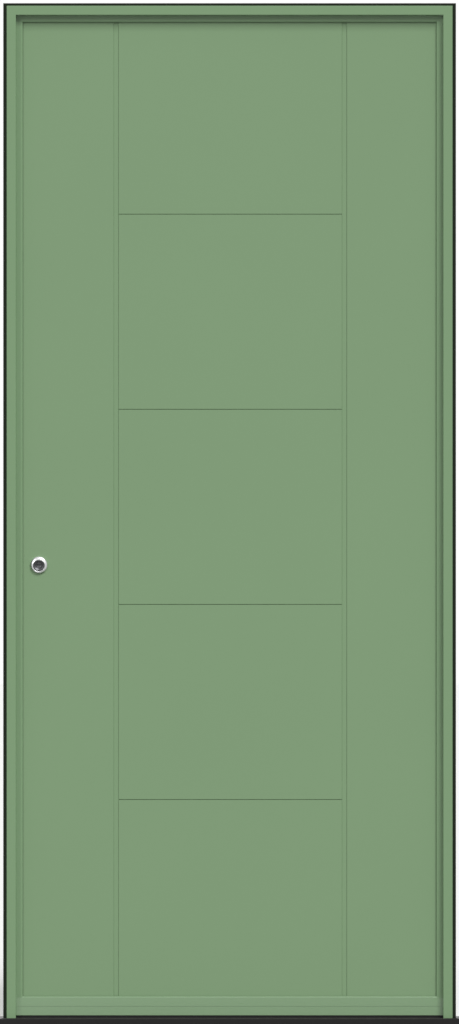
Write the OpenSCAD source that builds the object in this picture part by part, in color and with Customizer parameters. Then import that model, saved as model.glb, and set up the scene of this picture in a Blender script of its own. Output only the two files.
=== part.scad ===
// Entry door set: a steel-skinned leaf in an aluminium frame with a stepped stop,
// a threshold, three barrel hinges and a lock with a latch and three bolts.
// Millimetres. -Y is outdoors, +Y indoors, +X the hinge side, +Z up.
// The origin is the middle of the threshold's underside.

/* [Frame] */
// Width of the frame over its jambs
frame_w = 960; // [800:5:1200]
// Height of the jambs
frame_h = 2180; // [2050:5:2500]
// Depth of the frame through the wall
frame_d = 90; // [88:1:110]
// Width of the flat outer face of a jamb
face_w = 20; // [20:0.5:30]
// Width of the stop that the leaf closes against
stop_w = 14.5; // [12:0.5:18]
// How far the stop lies behind the outer face
stop_set_back = 21.5; // [14:0.5:22]
// Thickness of the stop
stop_t = 4; // [4:0.5:6.5]
// Chamfer along the front edge of the stop, rounded into a nose
stop_chamfer = 1.75; // [1:0.25:3]
// Wall of the hollow frame profiles
frame_wall = 2.5; // [2.4:0.1:3]
// Radius on the visible edges of the profiles
edge_r = 1; // [0.4:0.1:1.4]
// Thickness of the wall seals beside the jambs
seal_t = 7.3; // [3:0.1:12]
// Thickness of the wall seal over the head
seal_top_t = 5.4; // [3:0.1:12]
// Depth of the wall seals
seal_d = 30; // [10:1:40]
// Length of a leg of the corner cleats
cleat_leg = 70; // [40:1:120]
// Radius of the wall fixing holes
fixing_r = 4.1; // [3:0.1:5]

/* [Threshold] */
// Length of the threshold base
base_len = 1000; // [980:5:1300]
// Height of the threshold base
base_h = 20; // [15:0.5:40]
// Projection of the threshold base in front of the jambs
base_nose = 15; // [5:1:40]
// Wall of the threshold base
base_wall = 2.5; // [2:0.1:4]
// Thickness of the end caps
cap_t = 3; // [2:0.5:6]
// Height of the threshold upstand under the sill
upstand_h = 5.5; // [5:0.5:15]
// Height of the sill up to the floor of its rebate
sill_h = 26.5; // [22:0.5:40]
// Height of the drip groove above the sill's lower edge
drip_rise = 18.5; // [8:0.5:20]
// Width of the drip groove
drip_w = 1; // [1:0.25:4]
// Depth of the drip groove
drip_depth = 0.8; // [0.5:0.1:2]
// Chamfer along the front edge of the sill's stop, rounded into a nose
sill_chamfer = 1.75; // [1.5:0.25:3]

/* [Leaf] */
// Gap between the leaf and the rebate
leaf_gap = 4; // [3.6:0.1:6]
// Space between the stop and the leaf for the gasket
gasket_gap = 2.5; // [2.5:0.1:5]
// Thickness of the steel skins
skin_t = 1.2; // [0.8:0.1:1.6]
// Depth of the skins' returns round the leaf's edge
skin_return = 18; // [10:0.5:19]
// Distance of a pressed channel from the middle of the leaf
channel_x = 246; // [150:1:320]
// Width of a pressed channel
channel_w = 12; // [6:0.5:20]
// Depth of the pressed channels
channel_depth = 2.4; // [1.5:0.1:4]
// Number of pressed grooves between the channels
groove_count = 4; // [1:1:5]
// Height of one panel, from groove to groove
panel_h = 420.6; // [250:0.1:440]
// Width of a pressed groove
groove_w = 2; // [2:0.1:8]
// Depth of the pressed grooves
groove_depth = 3; // [1.5:0.1:4]
// Width of the stile on the lock side
lock_stile_w = 82; // [80:1:110]
// Width of the stile on the hinge side
hinge_stile_w = 62; // [58:1:90]
// Height of the top and bottom rails
rail_h = 70; // [40:1:110]

/* [Hinges] */
// Height of a hinge
hinge_h = 110; // [90:1:150]
// Radius of a hinge barrel
barrel_r = 9; // [8:0.25:11]
// Radius of a hinge pin
pin_r = 5; // [3:0.25:6]
// Thickness of the hinge plates
plate_t = 4; // [3:0.25:5]
// Height of the middle knuckle
knuckle_h = 50; // [44:1:60]

/* [Lock] */
// Height of the cylinder above the foot of the frame
lock_rise = 976; // [850:1:1100]
// Distance of the cylinder from the leaf's edge
lock_backset = 45; // [44:0.5:50]
// Distance from the cylinder up to the knob
knob_rise = 72; // [70:1:92]
// Throw of the three bolts
bolt_throw = 20; // [16:0.25:20]
// Thickness of the bolts and the latch
bolt_t = 10; // [8:0.5:11]
// Height of the deadbolt
deadbolt_h = 30; // [26:0.5:32]
// Height of the upper and lower bolts
side_bolt_h = 24; // [18:0.5:30]
// Distance of the lower bolt below the cylinder
side_bolt_shift = 760; // [500:5:800]
// Distance of the upper bolt below the top of the leaf
upper_bolt_drop = 420; // [250:1:600]
// Height of the latch
latch_h = 18; // [14:0.5:20]
// Angle that the knob turns
knob_turn = 40; // [30:1:45]
// Throw of the latch
latch_throw = 11; // [9:0.25:12]
// Thickness of the faceplate
faceplate_t = 3; // [2:0.25:4]
// Width of the faceplate
faceplate_w = 20; // [18:0.5:22]
// Thickness of the strike plates
strike_t = 1.5; // [1:0.1:1.8]
// Width of the strike plates
strike_w = 24; // [20:0.5:28]
// Radius of the cylinder's collar
collar_r = 18; // [16:0.25:24]
// Projection of the collar in front of the leaf
collar_h = 9; // [8:0.5:16]
// Radius of the cylinder body
cylinder_r = 12; // [10:0.25:13]
// Radius of the cylinder's plug
plug_r = 6.5; // [5:0.25:8]
// Radius of the inside knob
knob_r = 26; // [22:0.5:32]

/* [Hidden] */
$fn = 48;

// Colours
paint = [0.50, 0.61, 0.47];
rubber = [0.13, 0.15, 0.13];
dark_metal = [0.18, 0.18, 0.18];
steel = [0.72, 0.73, 0.74];
chrome = [0.85, 0.86, 0.87];
gunmetal = [0.25, 0.26, 0.27];
timber = [0.76, 0.62, 0.42];
board = [0.78, 0.68, 0.52];

// Overrun of every cut, and the clearances
over = 1;
part_gap = 0.3;
run_fit = 0.05;
screw_fit = 0.1;
arc_steps = 4;

// Levels and faces of the frame
half_w = frame_w / 2;
y_out = -frame_d / 2;
y_in = frame_d / 2;
foot_z = base_h;
top_z = base_h + frame_h;
profile_w = face_w + stop_w;
rebate_x = half_w - face_w;
stop_x = half_w - profile_w;
stop_y0 = y_out + stop_set_back;
stop_y1 = stop_y0 + stop_t;
web_y = stop_y1 + frame_wall;
sill_z0 = foot_z + upstand_h;
sill_floor_z = sill_z0 + sill_h;
sill_top_z = sill_floor_z + stop_w;
base_y0 = y_out - base_nose;
upstand_y0 = stop_y0 + frame_wall;

// Nose of the stop: its radius as a share of the chamfer, limited by the edge that is left behind it
nose_share = 1.6;
nose_limit_share = 1.3;
lip_share = 0.4;

// Gasket in the back of the stop
gasket_stem_w = 4;
gasket_stem_d = 2.5;
gasket_bulb_w = 8;
gasket_mid = stop_w / 2;
gasket_head_x = stop_x + gasket_mid + gasket_stem_w / 2 - screw_fit;

// Faces of the leaf
leaf_half_w = rebate_x - leaf_gap;
leaf_z0 = sill_floor_z + leaf_gap;
leaf_z1 = top_z - face_w - leaf_gap;
leaf_mid_z = (leaf_z0 + leaf_z1) / 2;
leaf_y0 = stop_y1 + gasket_gap;
leaf_y1 = y_in;
filling_y0 = leaf_y0 + skin_t;
filling_y1 = leaf_y1 - skin_t;
filling_x = leaf_half_w - skin_t;
filling_z0 = leaf_z0 + skin_t;
filling_z1 = leaf_z1 - skin_t;
lock_stile_x = lock_stile_w - filling_x;
hinge_stile_x = filling_x - hinge_stile_w;
core_z0 = filling_z0 + rail_h;
core_z1 = filling_z1 - rail_h;
channel_end = 5;
channel_shift = 1.5;
groove_shift = 4.95;
press_draft_share = 0.12;
groove_z = [for (i = [0 : groove_count - 1])
    leaf_mid_z + groove_shift + (i - (groove_count - 1) / 2) * panel_h];

// Wall fixings, as shares of the jamb's height
fixing_shares = [0.2, 0.36, 0.62, 0.9];
fixing_y = (web_y + y_in) / 2;

// Hinges, as shares of the leaf's height
hinge_shares = [0.1, 0.5, 0.9];
barrel_lift = 1;
hinge_x = (leaf_half_w + rebate_x) / 2;
hinge_y = y_in + plate_t + barrel_lift + barrel_r;
wing_gap = 3;
frame_wing_w = 18;
leaf_wing_w = 45;
web_w = 11;
web_top_share = 0.9;
knuckle_gap = 0.4;
pin_head_r = 7.5;
pin_head_t = 3;
frame_screw_x = hinge_x + wing_gap + frame_wing_w / 2;
frame_screw_share = 0.15;
leaf_screw_x_shares = [0.6, 0.86];
leaf_screw_z_share = 0.36;
hinge_z = [for (s = hinge_shares) leaf_z0 + s * (leaf_z1 - leaf_z0)];

// Screws
screw_head_r = 3.4;
screw_head_t = 1;
screw_r = 2;
screw_len = 16;

// Lock: axes and layers through the leaf's thickness
case_wall = 1.5;
layer_gap = 1;
rod_t = 2.5;
cam_t = 3;
case_t = 2 * case_wall + rod_t + bolt_t + cam_t + 3.5 * layer_gap;
lock_x = lock_backset - leaf_half_w;
lock_z = foot_z + lock_rise;
knob_z = lock_z + knob_rise;
edge_x = -leaf_half_w;
case_x0 = edge_x + faceplate_t;
lock_y = (leaf_y0 + leaf_y1) / 2;
case_y0 = lock_y - case_t / 2;
case_y1 = lock_y + case_t / 2;
rod_y0 = case_y0 + case_wall + layer_gap / 2;
rod_y1 = rod_y0 + rod_t;
bolt_y0 = rod_y1 + layer_gap;
bolt_y1 = bolt_y0 + bolt_t;
bolt_y = (bolt_y0 + bolt_y1) / 2;
cam_y0 = bolt_y1 + layer_gap;
cam_y1 = cam_y0 + cam_t;
case_back = 28;
case_drop = 40;
case_head = 34;
main_case_x1 = lock_x + case_back;
main_case_z0 = lock_z - case_drop;
main_case_z1 = knob_z + case_head;
side_case_d = 52;
side_case_x1 = case_x0 + side_case_d;
side_case_end = 14;
side_bolt_z = [lock_z - side_bolt_shift, leaf_z1 - upper_bolt_drop];
side_case_half = side_bolt_h / 2 + side_case_end;

// Bolt cam: its pin swings a quarter turn and carries the deadbolt over its throw
cam_pin_r = 3;
cam_pin_fit = 0.7;
cam_pin_reach = 7;
cam_arm = bolt_throw / sqrt(2);
cam_lift = cam_arm / sqrt(2);
cam_r = cam_arm + cam_pin_r + case_wall;
cam_hub_r = 7;
deadbolt_z = lock_z + (cam_arm + cam_lift) / 2;
deadbolt_len = 36;
tail_wall = 5;
tail_z0 = lock_z + cam_lift / 2 + case_wall;
tail_x1 = lock_x + cam_lift + cam_pin_r + cam_pin_fit + tail_wall;

// Drive rod: each bolt's pin rides in a slot at 45 degrees
rod_pin_r = 3;
rod_pin_inset = 31;
rod_pin_x = edge_x + rod_pin_inset;
rod_slot_fit = 0.3;
rod_edge = 4;
rod_x0 = rod_pin_x - bolt_throw - rod_pin_r - rod_slot_fit - rod_edge;
rod_w = 18;
rod_x1 = rod_x0 + rod_w;
rod_pad_x1 = rod_pin_x + rod_pin_r + rod_slot_fit + rod_edge;
rod_pin_z = [side_bolt_z[0], deadbolt_z, side_bolt_z[1]];
rod_pad_over = rod_pin_r + rod_slot_fit + 2 * rod_edge;
rod_z0 = side_bolt_z[0] - bolt_throw - rod_pad_over;
rod_z1 = side_bolt_z[1] + rod_pad_over;
rod_track_gap = 0.6;

// Latch follower: its arm swings equally to both sides of upright
follower_arm = latch_throw / 2 / sin(knob_turn / 2);
follower_pin_r = 2.5;
follower_web_w = 4;
follower_hub_r = 9;
follower_journal_r = 7;
spindle_w = 8;
latch_len = 30;
latch_tail_wall = 3;
latch_bevel_share = 0.8;
latch_neck = 10;
latch_tail_z0 = knob_z + follower_hub_r + 1.5 * layer_gap;
latch_tail_z1 = knob_z + follower_arm + follower_pin_r + part_gap + latch_tail_wall;
follower_pin_x = lock_x + latch_throw / 2;
latch_tail_x1 = follower_pin_x + follower_pin_r + part_gap + latch_tail_wall;

// Faceplate, with screws at its ends and at shares of the stretches between its lock cases
faceplate_end = 60;
faceplate_screw_end = 20;
faceplate_z0 = side_bolt_z[0] - faceplate_end;
faceplate_z1 = side_bolt_z[1] + faceplate_end;
faceplate_screw_shares = [0.3, 0.7];
case_gaps = [[side_bolt_z[0] + side_case_half, main_case_z0], [main_case_z1, side_bolt_z[1] - side_case_half]];
faceplate_screw_z = concat([faceplate_z0 + faceplate_screw_end, faceplate_z1 - faceplate_screw_end],
    [for (g = case_gaps, s = faceplate_screw_shares) g[0] + s * (g[1] - g[0])]);

// Strikes: ends above and below their windows, and the windows' clearance
strike_end = 22;
window_gap = 1;
deadbolt_span = [deadbolt_z - deadbolt_h / 2, deadbolt_z + deadbolt_h / 2];
latch_span = [knob_z - latch_h / 2, knob_z + latch_h / 2];
side_spans = [for (z = side_bolt_z) [z - side_bolt_h / 2, z + side_bolt_h / 2]];
main_strike_z = [deadbolt_span[0] - strike_end, latch_span[1] + strike_end];
side_strikes_z = [for (s = side_spans) [s[0] - strike_end, s[1] + strike_end]];

// Cylinder, knob and thumbturn
collar_rim_share = 0.8;
collar_mouth_share = 0.6;
collar_land = 5;
collar_round_share = 0.8;
cylinder_set_back = 6;
cylinder_y0 = leaf_y0 - collar_h + cylinder_set_back;
keyway_w = 9;
keyway_h = 2;
keyway_d = 12;
tailpiece_w = 8;
tailpiece_t = 2.5;
tailpiece_seat = 6;
rose_r = 26;
rose_h = 7;
knob_neck_r = 10;
knob_neck_len = 26;
knob_len = 28;
knob_face_share = 0.55;
thumb_rose_r = 22;
thumb_shaft_r = 8;
thumb_wing_w = 30;
thumb_wing_t = 9;
thumb_wing_h = 16;

// Points on an arc that rounds corner p between a and b
function unit(v) = v / norm(v);
function turned(v, angle) =
    [v[0] * cos(angle) - v[1] * sin(angle), v[0] * sin(angle) + v[1] * cos(angle)];
function corner(a, p, b, r) =
    let (d1 = unit(p - a), d2 = unit(b - p))
    let (angle = atan2(d1[0] * d2[1] - d1[1] * d2[0], d1 * d2))
    let (n = sign(angle) * [-d1[1], d1[0]])
    let (centre = p - r * tan(abs(angle) / 2) * d1 + r * n)
    r == 0 ? [p] : [for (k = [0 : arc_steps]) centre + turned(-r * n, angle * k / arc_steps)];
function rounded(points, radii) =
    let (n = len(points))
    [for (i = [0 : n - 1])
        each corner(points[(i + n - 1) % n], points[i], points[(i + 1) % n], radii[i])];

// Shapes placed by their faces
module block(low, high) {
    translate(low)
        cube(high - low);
}

module along_x(x0, x1) {
    translate([x0, 0, 0])
        rotate([90, 0, 90])
            linear_extrude(x1 - x0)
                children();
}

module along_y(y0, y1) {
    translate([0, y1, 0])
        rotate([90, 0, 0])
            linear_extrude(y1 - y0)
                children();
}

module along_z(z0, z1) {
    translate([0, 0, z0])
        linear_extrude(z1 - z0)
            children();
}

module bar_x(y, z, r, x0, x1) {
    translate([x0, y, z])
        rotate([0, 90, 0])
            cylinder(r = r, h = x1 - x0);
}

module bar_y(x, z, r, y0, y1) {
    translate([x, y0, z])
        rotate([-90, 0, 0])
            cylinder(r = r, h = y1 - y0);
}

module turned_on_y(x, z) {
    translate([x, 0, z])
        rotate([-90, 0, 0])
            rotate_extrude()
                children();
}

// Radii round a stop's front edge: two for the nose and one for the back edge
function nose_radii(chamfer) = [nose_share * chamfer,
    min(nose_share * chamfer, nose_limit_share * (stop_t - chamfer)), min(edge_r, lip_share * (stop_t - chamfer))];

// A frame profile lies with its outer edge at zero and its width along the first axis
module frame_section() {
    outline = [[0, y_out], [face_w, y_out], [face_w, stop_y0], [profile_w - stop_chamfer, stop_y0],
        [profile_w, stop_y0 + stop_chamfer], [profile_w, stop_y1], [face_w, stop_y1], [face_w, y_in], [0, y_in]];
    nose = nose_radii(stop_chamfer);
    radii = [edge_r, edge_r, 0, nose[0], nose[1], nose[2], 0, edge_r, edge_r];
    chamber_w = face_w - 2 * frame_wall;
    difference() {
        polygon(rounded(outline, radii));
        translate([frame_wall, y_out + frame_wall])
            square([chamber_w, web_y - y_out - 1.5 * frame_wall]);
        translate([frame_wall, web_y + frame_wall / 2])
            square([chamber_w, y_in - web_y - 1.5 * frame_wall]);
        translate([face_w + gasket_mid - gasket_stem_w / 2, stop_y1 - gasket_stem_d])
            square([gasket_stem_w, gasket_stem_d + over]);
    }
}

module at_jamb(side) {
    translate([side * half_w, 0, 0])
        mirror([side > 0 ? 1 : 0, 0, 0])
            children();
}

module sill_solid() {
    outline = [[stop_y0, sill_z0], [y_in, sill_z0], [y_in, sill_floor_z], [stop_y1, sill_floor_z],
        [stop_y1, sill_top_z], [stop_y0 + sill_chamfer, sill_top_z], [stop_y0, sill_top_z - sill_chamfer]];
    nose = nose_radii(sill_chamfer);
    radii = [0, 0, edge_r, 0, nose[2], nose[1], nose[0]];
    along_x(-rebate_x, rebate_x)
        polygon(rounded(outline, radii));
}

module jamb(side) {
    reach = profile_w + over;
    difference() {
        at_jamb(side)
            difference() {
                intersection() {
                    along_z(foot_z, top_z)
                        frame_section();
                    along_y(y_out - over, y_in + over)
                        polygon([[-over, foot_z - over], [reach, foot_z - over],
                            [reach, top_z - reach], [-over, top_z + over]]);
                }
                block([face_w, stop_y0 - over, foot_z - over], [reach, stop_y1 + over, sill_z0]);
                for (s = fixing_shares)
                    bar_x(fixing_y, foot_z + s * frame_h, fixing_r, -over, face_w + over);
            }
        sill_solid();
    }
}

// Strike plates lie flush in the rebate of the lock jamb
module strike_windows(spans, x0, x1) {
    half_t = bolt_t / 2 + window_gap;
    for (s = spans)
        block([x0, bolt_y - half_t, s[0] - window_gap], [x1, bolt_y + half_t, s[1] + window_gap]);
}

module strike_body(span, x1, extra) {
    half = strike_w / 2 + extra;
    block([-rebate_x - strike_t, bolt_y - half, span[0] - extra], [x1, bolt_y + half, span[1] + extra]);
}

function strike_screw_z(span) = [span[0] + strike_end / 2, span[1] - strike_end / 2];

module strike(span, spans) {
    color(steel)
        difference() {
            strike_body(span, -rebate_x, 0);
            strike_windows(spans, -half_w, -rebate_x + over);
            for (z = strike_screw_z(span))
                screw_hole_x(-rebate_x, z, strike_t + over);
        }
}

// A screw along X, its head's face at x, pointing to -X or +X
module screw_x(x, z, way) {
    mirror([way > 0 ? 0 : 1, 0, 0]) {
        bar_x(bolt_y, z, screw_head_r, way * x, way * x + screw_head_t);
        bar_x(bolt_y, z, screw_r, way * x, way * x + screw_len);
    }
}

module screw_hole_x(x, z, depth) {
    bar_x(bolt_y, z, screw_head_r + screw_fit, x - screw_head_t, x + over);
    bar_x(bolt_y, z, screw_r + screw_fit, x - depth, x + over);
}

module jamb_lock_side() {
    color(paint)
        difference() {
            jamb(-1);
            for (span = concat([main_strike_z], side_strikes_z)) {
                strike_body(span, over - rebate_x, screw_fit);
                for (z = strike_screw_z(span))
                    bar_x(bolt_y, z, screw_r + screw_fit, -rebate_x - frame_wall - over, -rebate_x);
            }
            strike_windows(concat([deadbolt_span, latch_span], side_spans),
                -rebate_x - frame_wall - over, -rebate_x);
        }
}

module jamb_hinge_side() {
    color(paint)
        difference() {
            jamb(1);
            for (z = hinge_z)
                frame_screw_places(z)
                    bar_y(0, 0, screw_r + screw_fit, y_in - frame_wall - over, y_in + over);
        }
}

module head() {
    reach = profile_w + over;
    color(paint)
        intersection() {
            along_x(-half_w, half_w)
                translate([0, top_z])
                    rotate(-90)
                        frame_section();
            along_y(y_out - over, y_in + over)
                polygon([[-half_w - over, top_z + over], [half_w + over, top_z + over],
                    [half_w - reach, top_z - reach], [reach - half_w, top_z - reach]]);
        }
}

module sill() {
    color(paint)
        difference() {
            sill_solid();
            along_x(-half_w, half_w) {
                translate([web_y + frame_wall / 2, sill_z0 + frame_wall])
                    square([y_in - web_y - 1.5 * frame_wall, sill_h - 2 * frame_wall]);
                translate([stop_y0 - over, sill_z0 + drip_rise])
                    square([drip_depth + over, drip_w]);
                translate([stop_y1 - gasket_stem_d, sill_top_z - gasket_mid - gasket_stem_w / 2])
                    square([gasket_stem_d + over, gasket_stem_w]);
            }
        }
}

module corner_cleats() {
    near = frame_wall + part_gap;
    far = face_w - frame_wall - part_gap;
    color(steel)
        for (side = [-1, 1])
            at_jamb(side)
                along_y(web_y + frame_wall / 2 + part_gap, y_in - frame_wall - part_gap)
                    polygon([[near, top_z - near], [cleat_leg, top_z - near], [cleat_leg, top_z - far],
                        [far, top_z - far], [far, top_z - cleat_leg], [near, top_z - cleat_leg]]);
}

module threshold_base() {
    end_x = base_len / 2 - cap_t;
    upstand_x = min(rebate_x, end_x);
    chamber_d = (y_in - base_y0 - 4 * base_wall) / 3;
    outline = [[base_y0, 0], [y_in, 0], [y_in, base_h], [base_y0, base_h]];
    color(dark_metal)
        difference() {
            union() {
                along_x(-end_x, end_x)
                    polygon(rounded(outline, [edge_r, 0, 0, edge_r]));
                block([-upstand_x, upstand_y0, base_h - base_wall], [upstand_x, y_in, sill_z0]);
            }
            for (i = [0 : 2])
                translate([0, base_y0 + base_wall + i * (chamber_d + base_wall), base_wall])
                    block([-base_len, 0, 0], [base_len, chamber_d, base_h - 2 * base_wall]);
            block([-base_len, upstand_y0 + base_wall, base_h], [base_len, y_in - base_wall, sill_z0 - base_wall]);
        }
}

module base_cap(side) {
    near = base_len / 2 - cap_t;
    outline = [[base_y0, 0], [y_in, 0], [y_in, base_h], [base_y0, base_h]];
    color(rubber)
        mirror([side > 0 ? 0 : 1, 0, 0])
            along_x(near, near + cap_t)
                polygon(rounded(outline, [edge_r, 0, 0, edge_r]));
}

module wall_seal(side) {
    color(rubber)
        at_jamb(side)
            block([-seal_t, y_out + edge_r, foot_z], [0, y_out + edge_r + seal_d, top_z]);
}

module wall_seal_head() {
    reach = half_w + seal_t;
    color(rubber)
        block([-reach, y_out + edge_r, top_z], [reach, y_out + edge_r + seal_d, top_z + seal_top_t]);
}

// Gasket: a stem in the stop's groove and a bulb that meets the leaf
module gasket_section() {
    stem = gasket_stem_w - 2 * screw_fit;
    bulb_t = gasket_gap - part_gap;
    r = bulb_t / 3;
    translate([-stem / 2, -gasket_stem_d + part_gap])
        square([stem, gasket_stem_d]);
    polygon(rounded([[-gasket_bulb_w / 2, 0], [gasket_bulb_w / 2, 0], [gasket_bulb_w / 2, bulb_t],
        [-gasket_bulb_w / 2, bulb_t]], [0, 0, r, r]));
}

module gasket_jamb(side) {
    color(rubber)
        at_jamb(side)
            translate([face_w + gasket_mid, stop_y1, 0])
                along_z(sill_top_z + part_gap, top_z - face_w - gasket_mid - gasket_bulb_w / 2 - part_gap)
                    gasket_section();
}

module gasket_bar(z, reach) {
    color(rubber)
        along_x(-reach, reach)
            translate([stop_y1, z])
                rotate(-90)
                    gasket_section();
}

// Hinges
module web_outline(way) {
    near = way * wing_gap;
    far = way * (wing_gap + web_w);
    plate_mid = plate_t / 2 - barrel_r - barrel_lift - plate_t;
    polygon([[near, plate_mid], [far, plate_mid], [way * barrel_r * web_top_share, 0], [0, 0],
        [0, barrel_lift / 2 - barrel_r]]);
}

module hinge_half(z, way, wing_w, knuckles) {
    x0 = hinge_x + way * wing_gap;
    x1 = x0 + way * wing_w;
    difference() {
        union() {
            block([min(x0, x1), y_in, z - hinge_h / 2], [max(x0, x1), y_in + plate_t, z + hinge_h / 2]);
            for (k = knuckles)
                translate([hinge_x, hinge_y, 0]) {
                    along_z(z + k[0], z + k[1])
                        web_outline(way);
                    translate([0, 0, z + k[0]])
                        cylinder(r = barrel_r, h = k[1] - k[0]);
                }
        }
        translate([hinge_x, hinge_y, z - hinge_h])
            cylinder(r = pin_r + run_fit, h = 2 * hinge_h);
        children();
    }
}

module frame_screw_places(z) {
    for (way = [-1, 1])
        translate([frame_screw_x, 0, z + way * frame_screw_share * hinge_h])
            children();
}

module leaf_screw_places(z) {
    for (s = leaf_screw_x_shares, way = [-1, 1])
        translate([hinge_x - wing_gap - s * leaf_wing_w, 0, z + way * leaf_screw_z_share * hinge_h])
            children();
}

module plate_screw() {
    face = y_in + plate_t;
    bar_y(0, 0, screw_head_r, face - screw_head_t, face);
    bar_y(0, 0, screw_r, face - screw_len, face);
}

module plate_screw_hole() {
    face = y_in + plate_t;
    bar_y(0, 0, screw_head_r + screw_fit, face - screw_head_t, face + over);
    bar_y(0, 0, screw_r + screw_fit, face - screw_len - over, face + over);
}

module hinge_frame_half(i) {
    z = hinge_z[i];
    end = knuckle_h / 2 + knuckle_gap;
    color(steel)
        hinge_half(z, 1, frame_wing_w, [[-hinge_h / 2, -end], [end, hinge_h / 2]])
            frame_screw_places(z)
                plate_screw_hole();
}

module hinge_leaf_half(i) {
    z = hinge_z[i];
    color(steel)
        hinge_half(z, -1, leaf_wing_w, [[-knuckle_h / 2, knuckle_h / 2]])
            leaf_screw_places(z)
                plate_screw_hole();
}

module hinge_pin(i) {
    color(steel)
        translate([hinge_x, hinge_y, hinge_z[i]]) {
            translate([0, 0, -hinge_h / 2])
                cylinder(r = pin_r, h = hinge_h);
            translate([0, 0, hinge_h / 2])
                cylinder(r = pin_head_r, h = pin_head_t);
        }
}

// Pressed channels and grooves of the outer skin, grown by extra on their hidden side
module press_section(width, depth, extra) {
    narrow = width / 2 - depth * press_draft_share + extra;
    polygon([[-width / 2 - extra, extra > 0 ? 0 : -over], [width / 2 + extra, extra > 0 ? 0 : -over],
        [narrow, depth + extra], [-narrow, depth + extra]]);
}

module presses(extra) {
    for (side = [-1, 1])
        translate([channel_shift + side * channel_x, leaf_y0, 0])
            along_z(leaf_z0 + channel_end - extra, leaf_z1 - channel_end + extra)
                press_section(channel_w, channel_depth, extra);
    for (z = groove_z)
        along_x(channel_shift - channel_x, channel_shift + channel_x)
            translate([leaf_y0, z])
                rotate(-90)
                    press_section(groove_w, groove_depth, extra);
}

module outer_skin() {
    color(paint)
        difference() {
            union() {
                difference() {
                    block([-leaf_half_w, leaf_y0, leaf_z0], [leaf_half_w, leaf_y0 + skin_return, leaf_z1]);
                    block([-filling_x, filling_y0, filling_z0], [filling_x, leaf_y1, filling_z1]);
                }
                presses(skin_t);
            }
            presses(0);
            bar_y(lock_x, lock_z, cylinder_r + part_gap, leaf_y0 - over, filling_y0 + over);
        }
}

module inner_skin() {
    color(paint)
        difference() {
            block([-leaf_half_w, leaf_y1 - skin_return, leaf_z0], [leaf_half_w, leaf_y1, leaf_z1]);
            block([-filling_x, leaf_y0, filling_z0], [filling_x, filling_y1, filling_z1]);
            bar_y(lock_x, knob_z, knob_neck_r, filling_y1 - over, leaf_y1 + over);
            bar_y(lock_x, lock_z, thumb_shaft_r + part_gap, filling_y1 - over, leaf_y1 + over);
            leaf_screw_holes();
        }
}

module leaf_screw_holes() {
    for (z = hinge_z)
        leaf_screw_places(z)
            plate_screw_hole();
}

module insulation_core() {
    color(board)
        difference() {
            block([lock_stile_x, filling_y0, core_z0], [hinge_stile_x, filling_y1, core_z1]);
            presses(skin_t + part_gap);
        }
}

module rail(z0) {
    color(timber)
        difference() {
            block([lock_stile_x, filling_y0, z0], [hinge_stile_x, filling_y1, z0 + rail_h]);
            presses(skin_t + part_gap);
        }
}

module hinge_stile() {
    color(timber)
        difference() {
            block([hinge_stile_x, filling_y0, filling_z0], [filling_x, filling_y1, filling_z1]);
            leaf_screw_holes();
        }
}

module rod_track() {
    block([edge_x - over, rod_y0 - rod_track_gap, rod_z0 - rod_track_gap],
        [rod_pad_x1 + rod_track_gap, rod_y1 + rod_track_gap, rod_z1 + bolt_throw + rod_track_gap]);
}

module faceplate_screw_places() {
    for (z = faceplate_screw_z)
        translate([0, 0, z])
            children();
}

module lock_stile() {
    half_face = faceplate_w / 2 + screw_fit;
    color(timber)
        difference() {
            block([-filling_x, filling_y0, filling_z0], [lock_stile_x, filling_y1, filling_z1]);
            block([edge_x - over, bolt_y - half_face, faceplate_z0 - screw_fit],
                [case_x0, bolt_y + half_face, faceplate_z1 + screw_fit]);
            block([edge_x, case_y0 - part_gap, main_case_z0 - part_gap],
                [main_case_x1 + part_gap, case_y1 + part_gap, main_case_z1 + part_gap]);
            for (z = side_bolt_z)
                block([edge_x, case_y0 - part_gap, z - side_case_half - part_gap],
                    [side_case_x1 + part_gap, case_y1 + part_gap, z + side_case_half + part_gap]);
            rod_track();
            bar_y(lock_x, lock_z, cylinder_r + part_gap, leaf_y0, lock_y);
            bar_y(lock_x, lock_z, thumb_shaft_r + part_gap, lock_y, leaf_y1);
            bar_y(lock_x, knob_z, knob_neck_r, lock_y, leaf_y1);
            faceplate_screw_places()
                bar_x(bolt_y, 0, screw_r + screw_fit, edge_x, edge_x + screw_len + over);
        }
}

module lock_faceplate() {
    half = faceplate_w / 2;
    color(steel)
        difference() {
            block([edge_x, bolt_y - half, faceplate_z0], [case_x0, bolt_y + half, faceplate_z1]);
            for (s = concat([deadbolt_span, latch_span], side_spans))
                block([edge_x - over, bolt_y0 - part_gap, s[0] - part_gap],
                    [case_x0 + over, bolt_y1 + part_gap, s[1] + part_gap]);
            faceplate_screw_places() {
                bar_x(bolt_y, 0, screw_head_r + screw_fit, edge_x - over, edge_x + screw_head_t);
                bar_x(bolt_y, 0, screw_r + screw_fit, edge_x - over, case_x0 + over);
            }
        }
}

// Lock cases are folded boxes, open towards the faceplate, with a way through for the rod
module case_box(x1, z0, z1) {
    difference() {
        block([case_x0, case_y0, z0], [x1, case_y1, z1]);
        block([case_x0 - over, case_y0 + case_wall, z0 + case_wall],
            [x1 - case_wall, case_y1 - case_wall, z1 - case_wall]);
        rod_track();
    }
}

module main_lock_case() {
    color(steel)
        difference() {
            case_box(main_case_x1, main_case_z0, main_case_z1);
            bar_y(lock_x, lock_z, plug_r + run_fit, case_y0 - over, lock_y);
            bar_y(lock_x, lock_z, cam_hub_r + run_fit, lock_y, case_y1 + over);
            bar_y(lock_x, knob_z, follower_journal_r + run_fit, case_y0 - over, case_y1 + over);
        }
}

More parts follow.
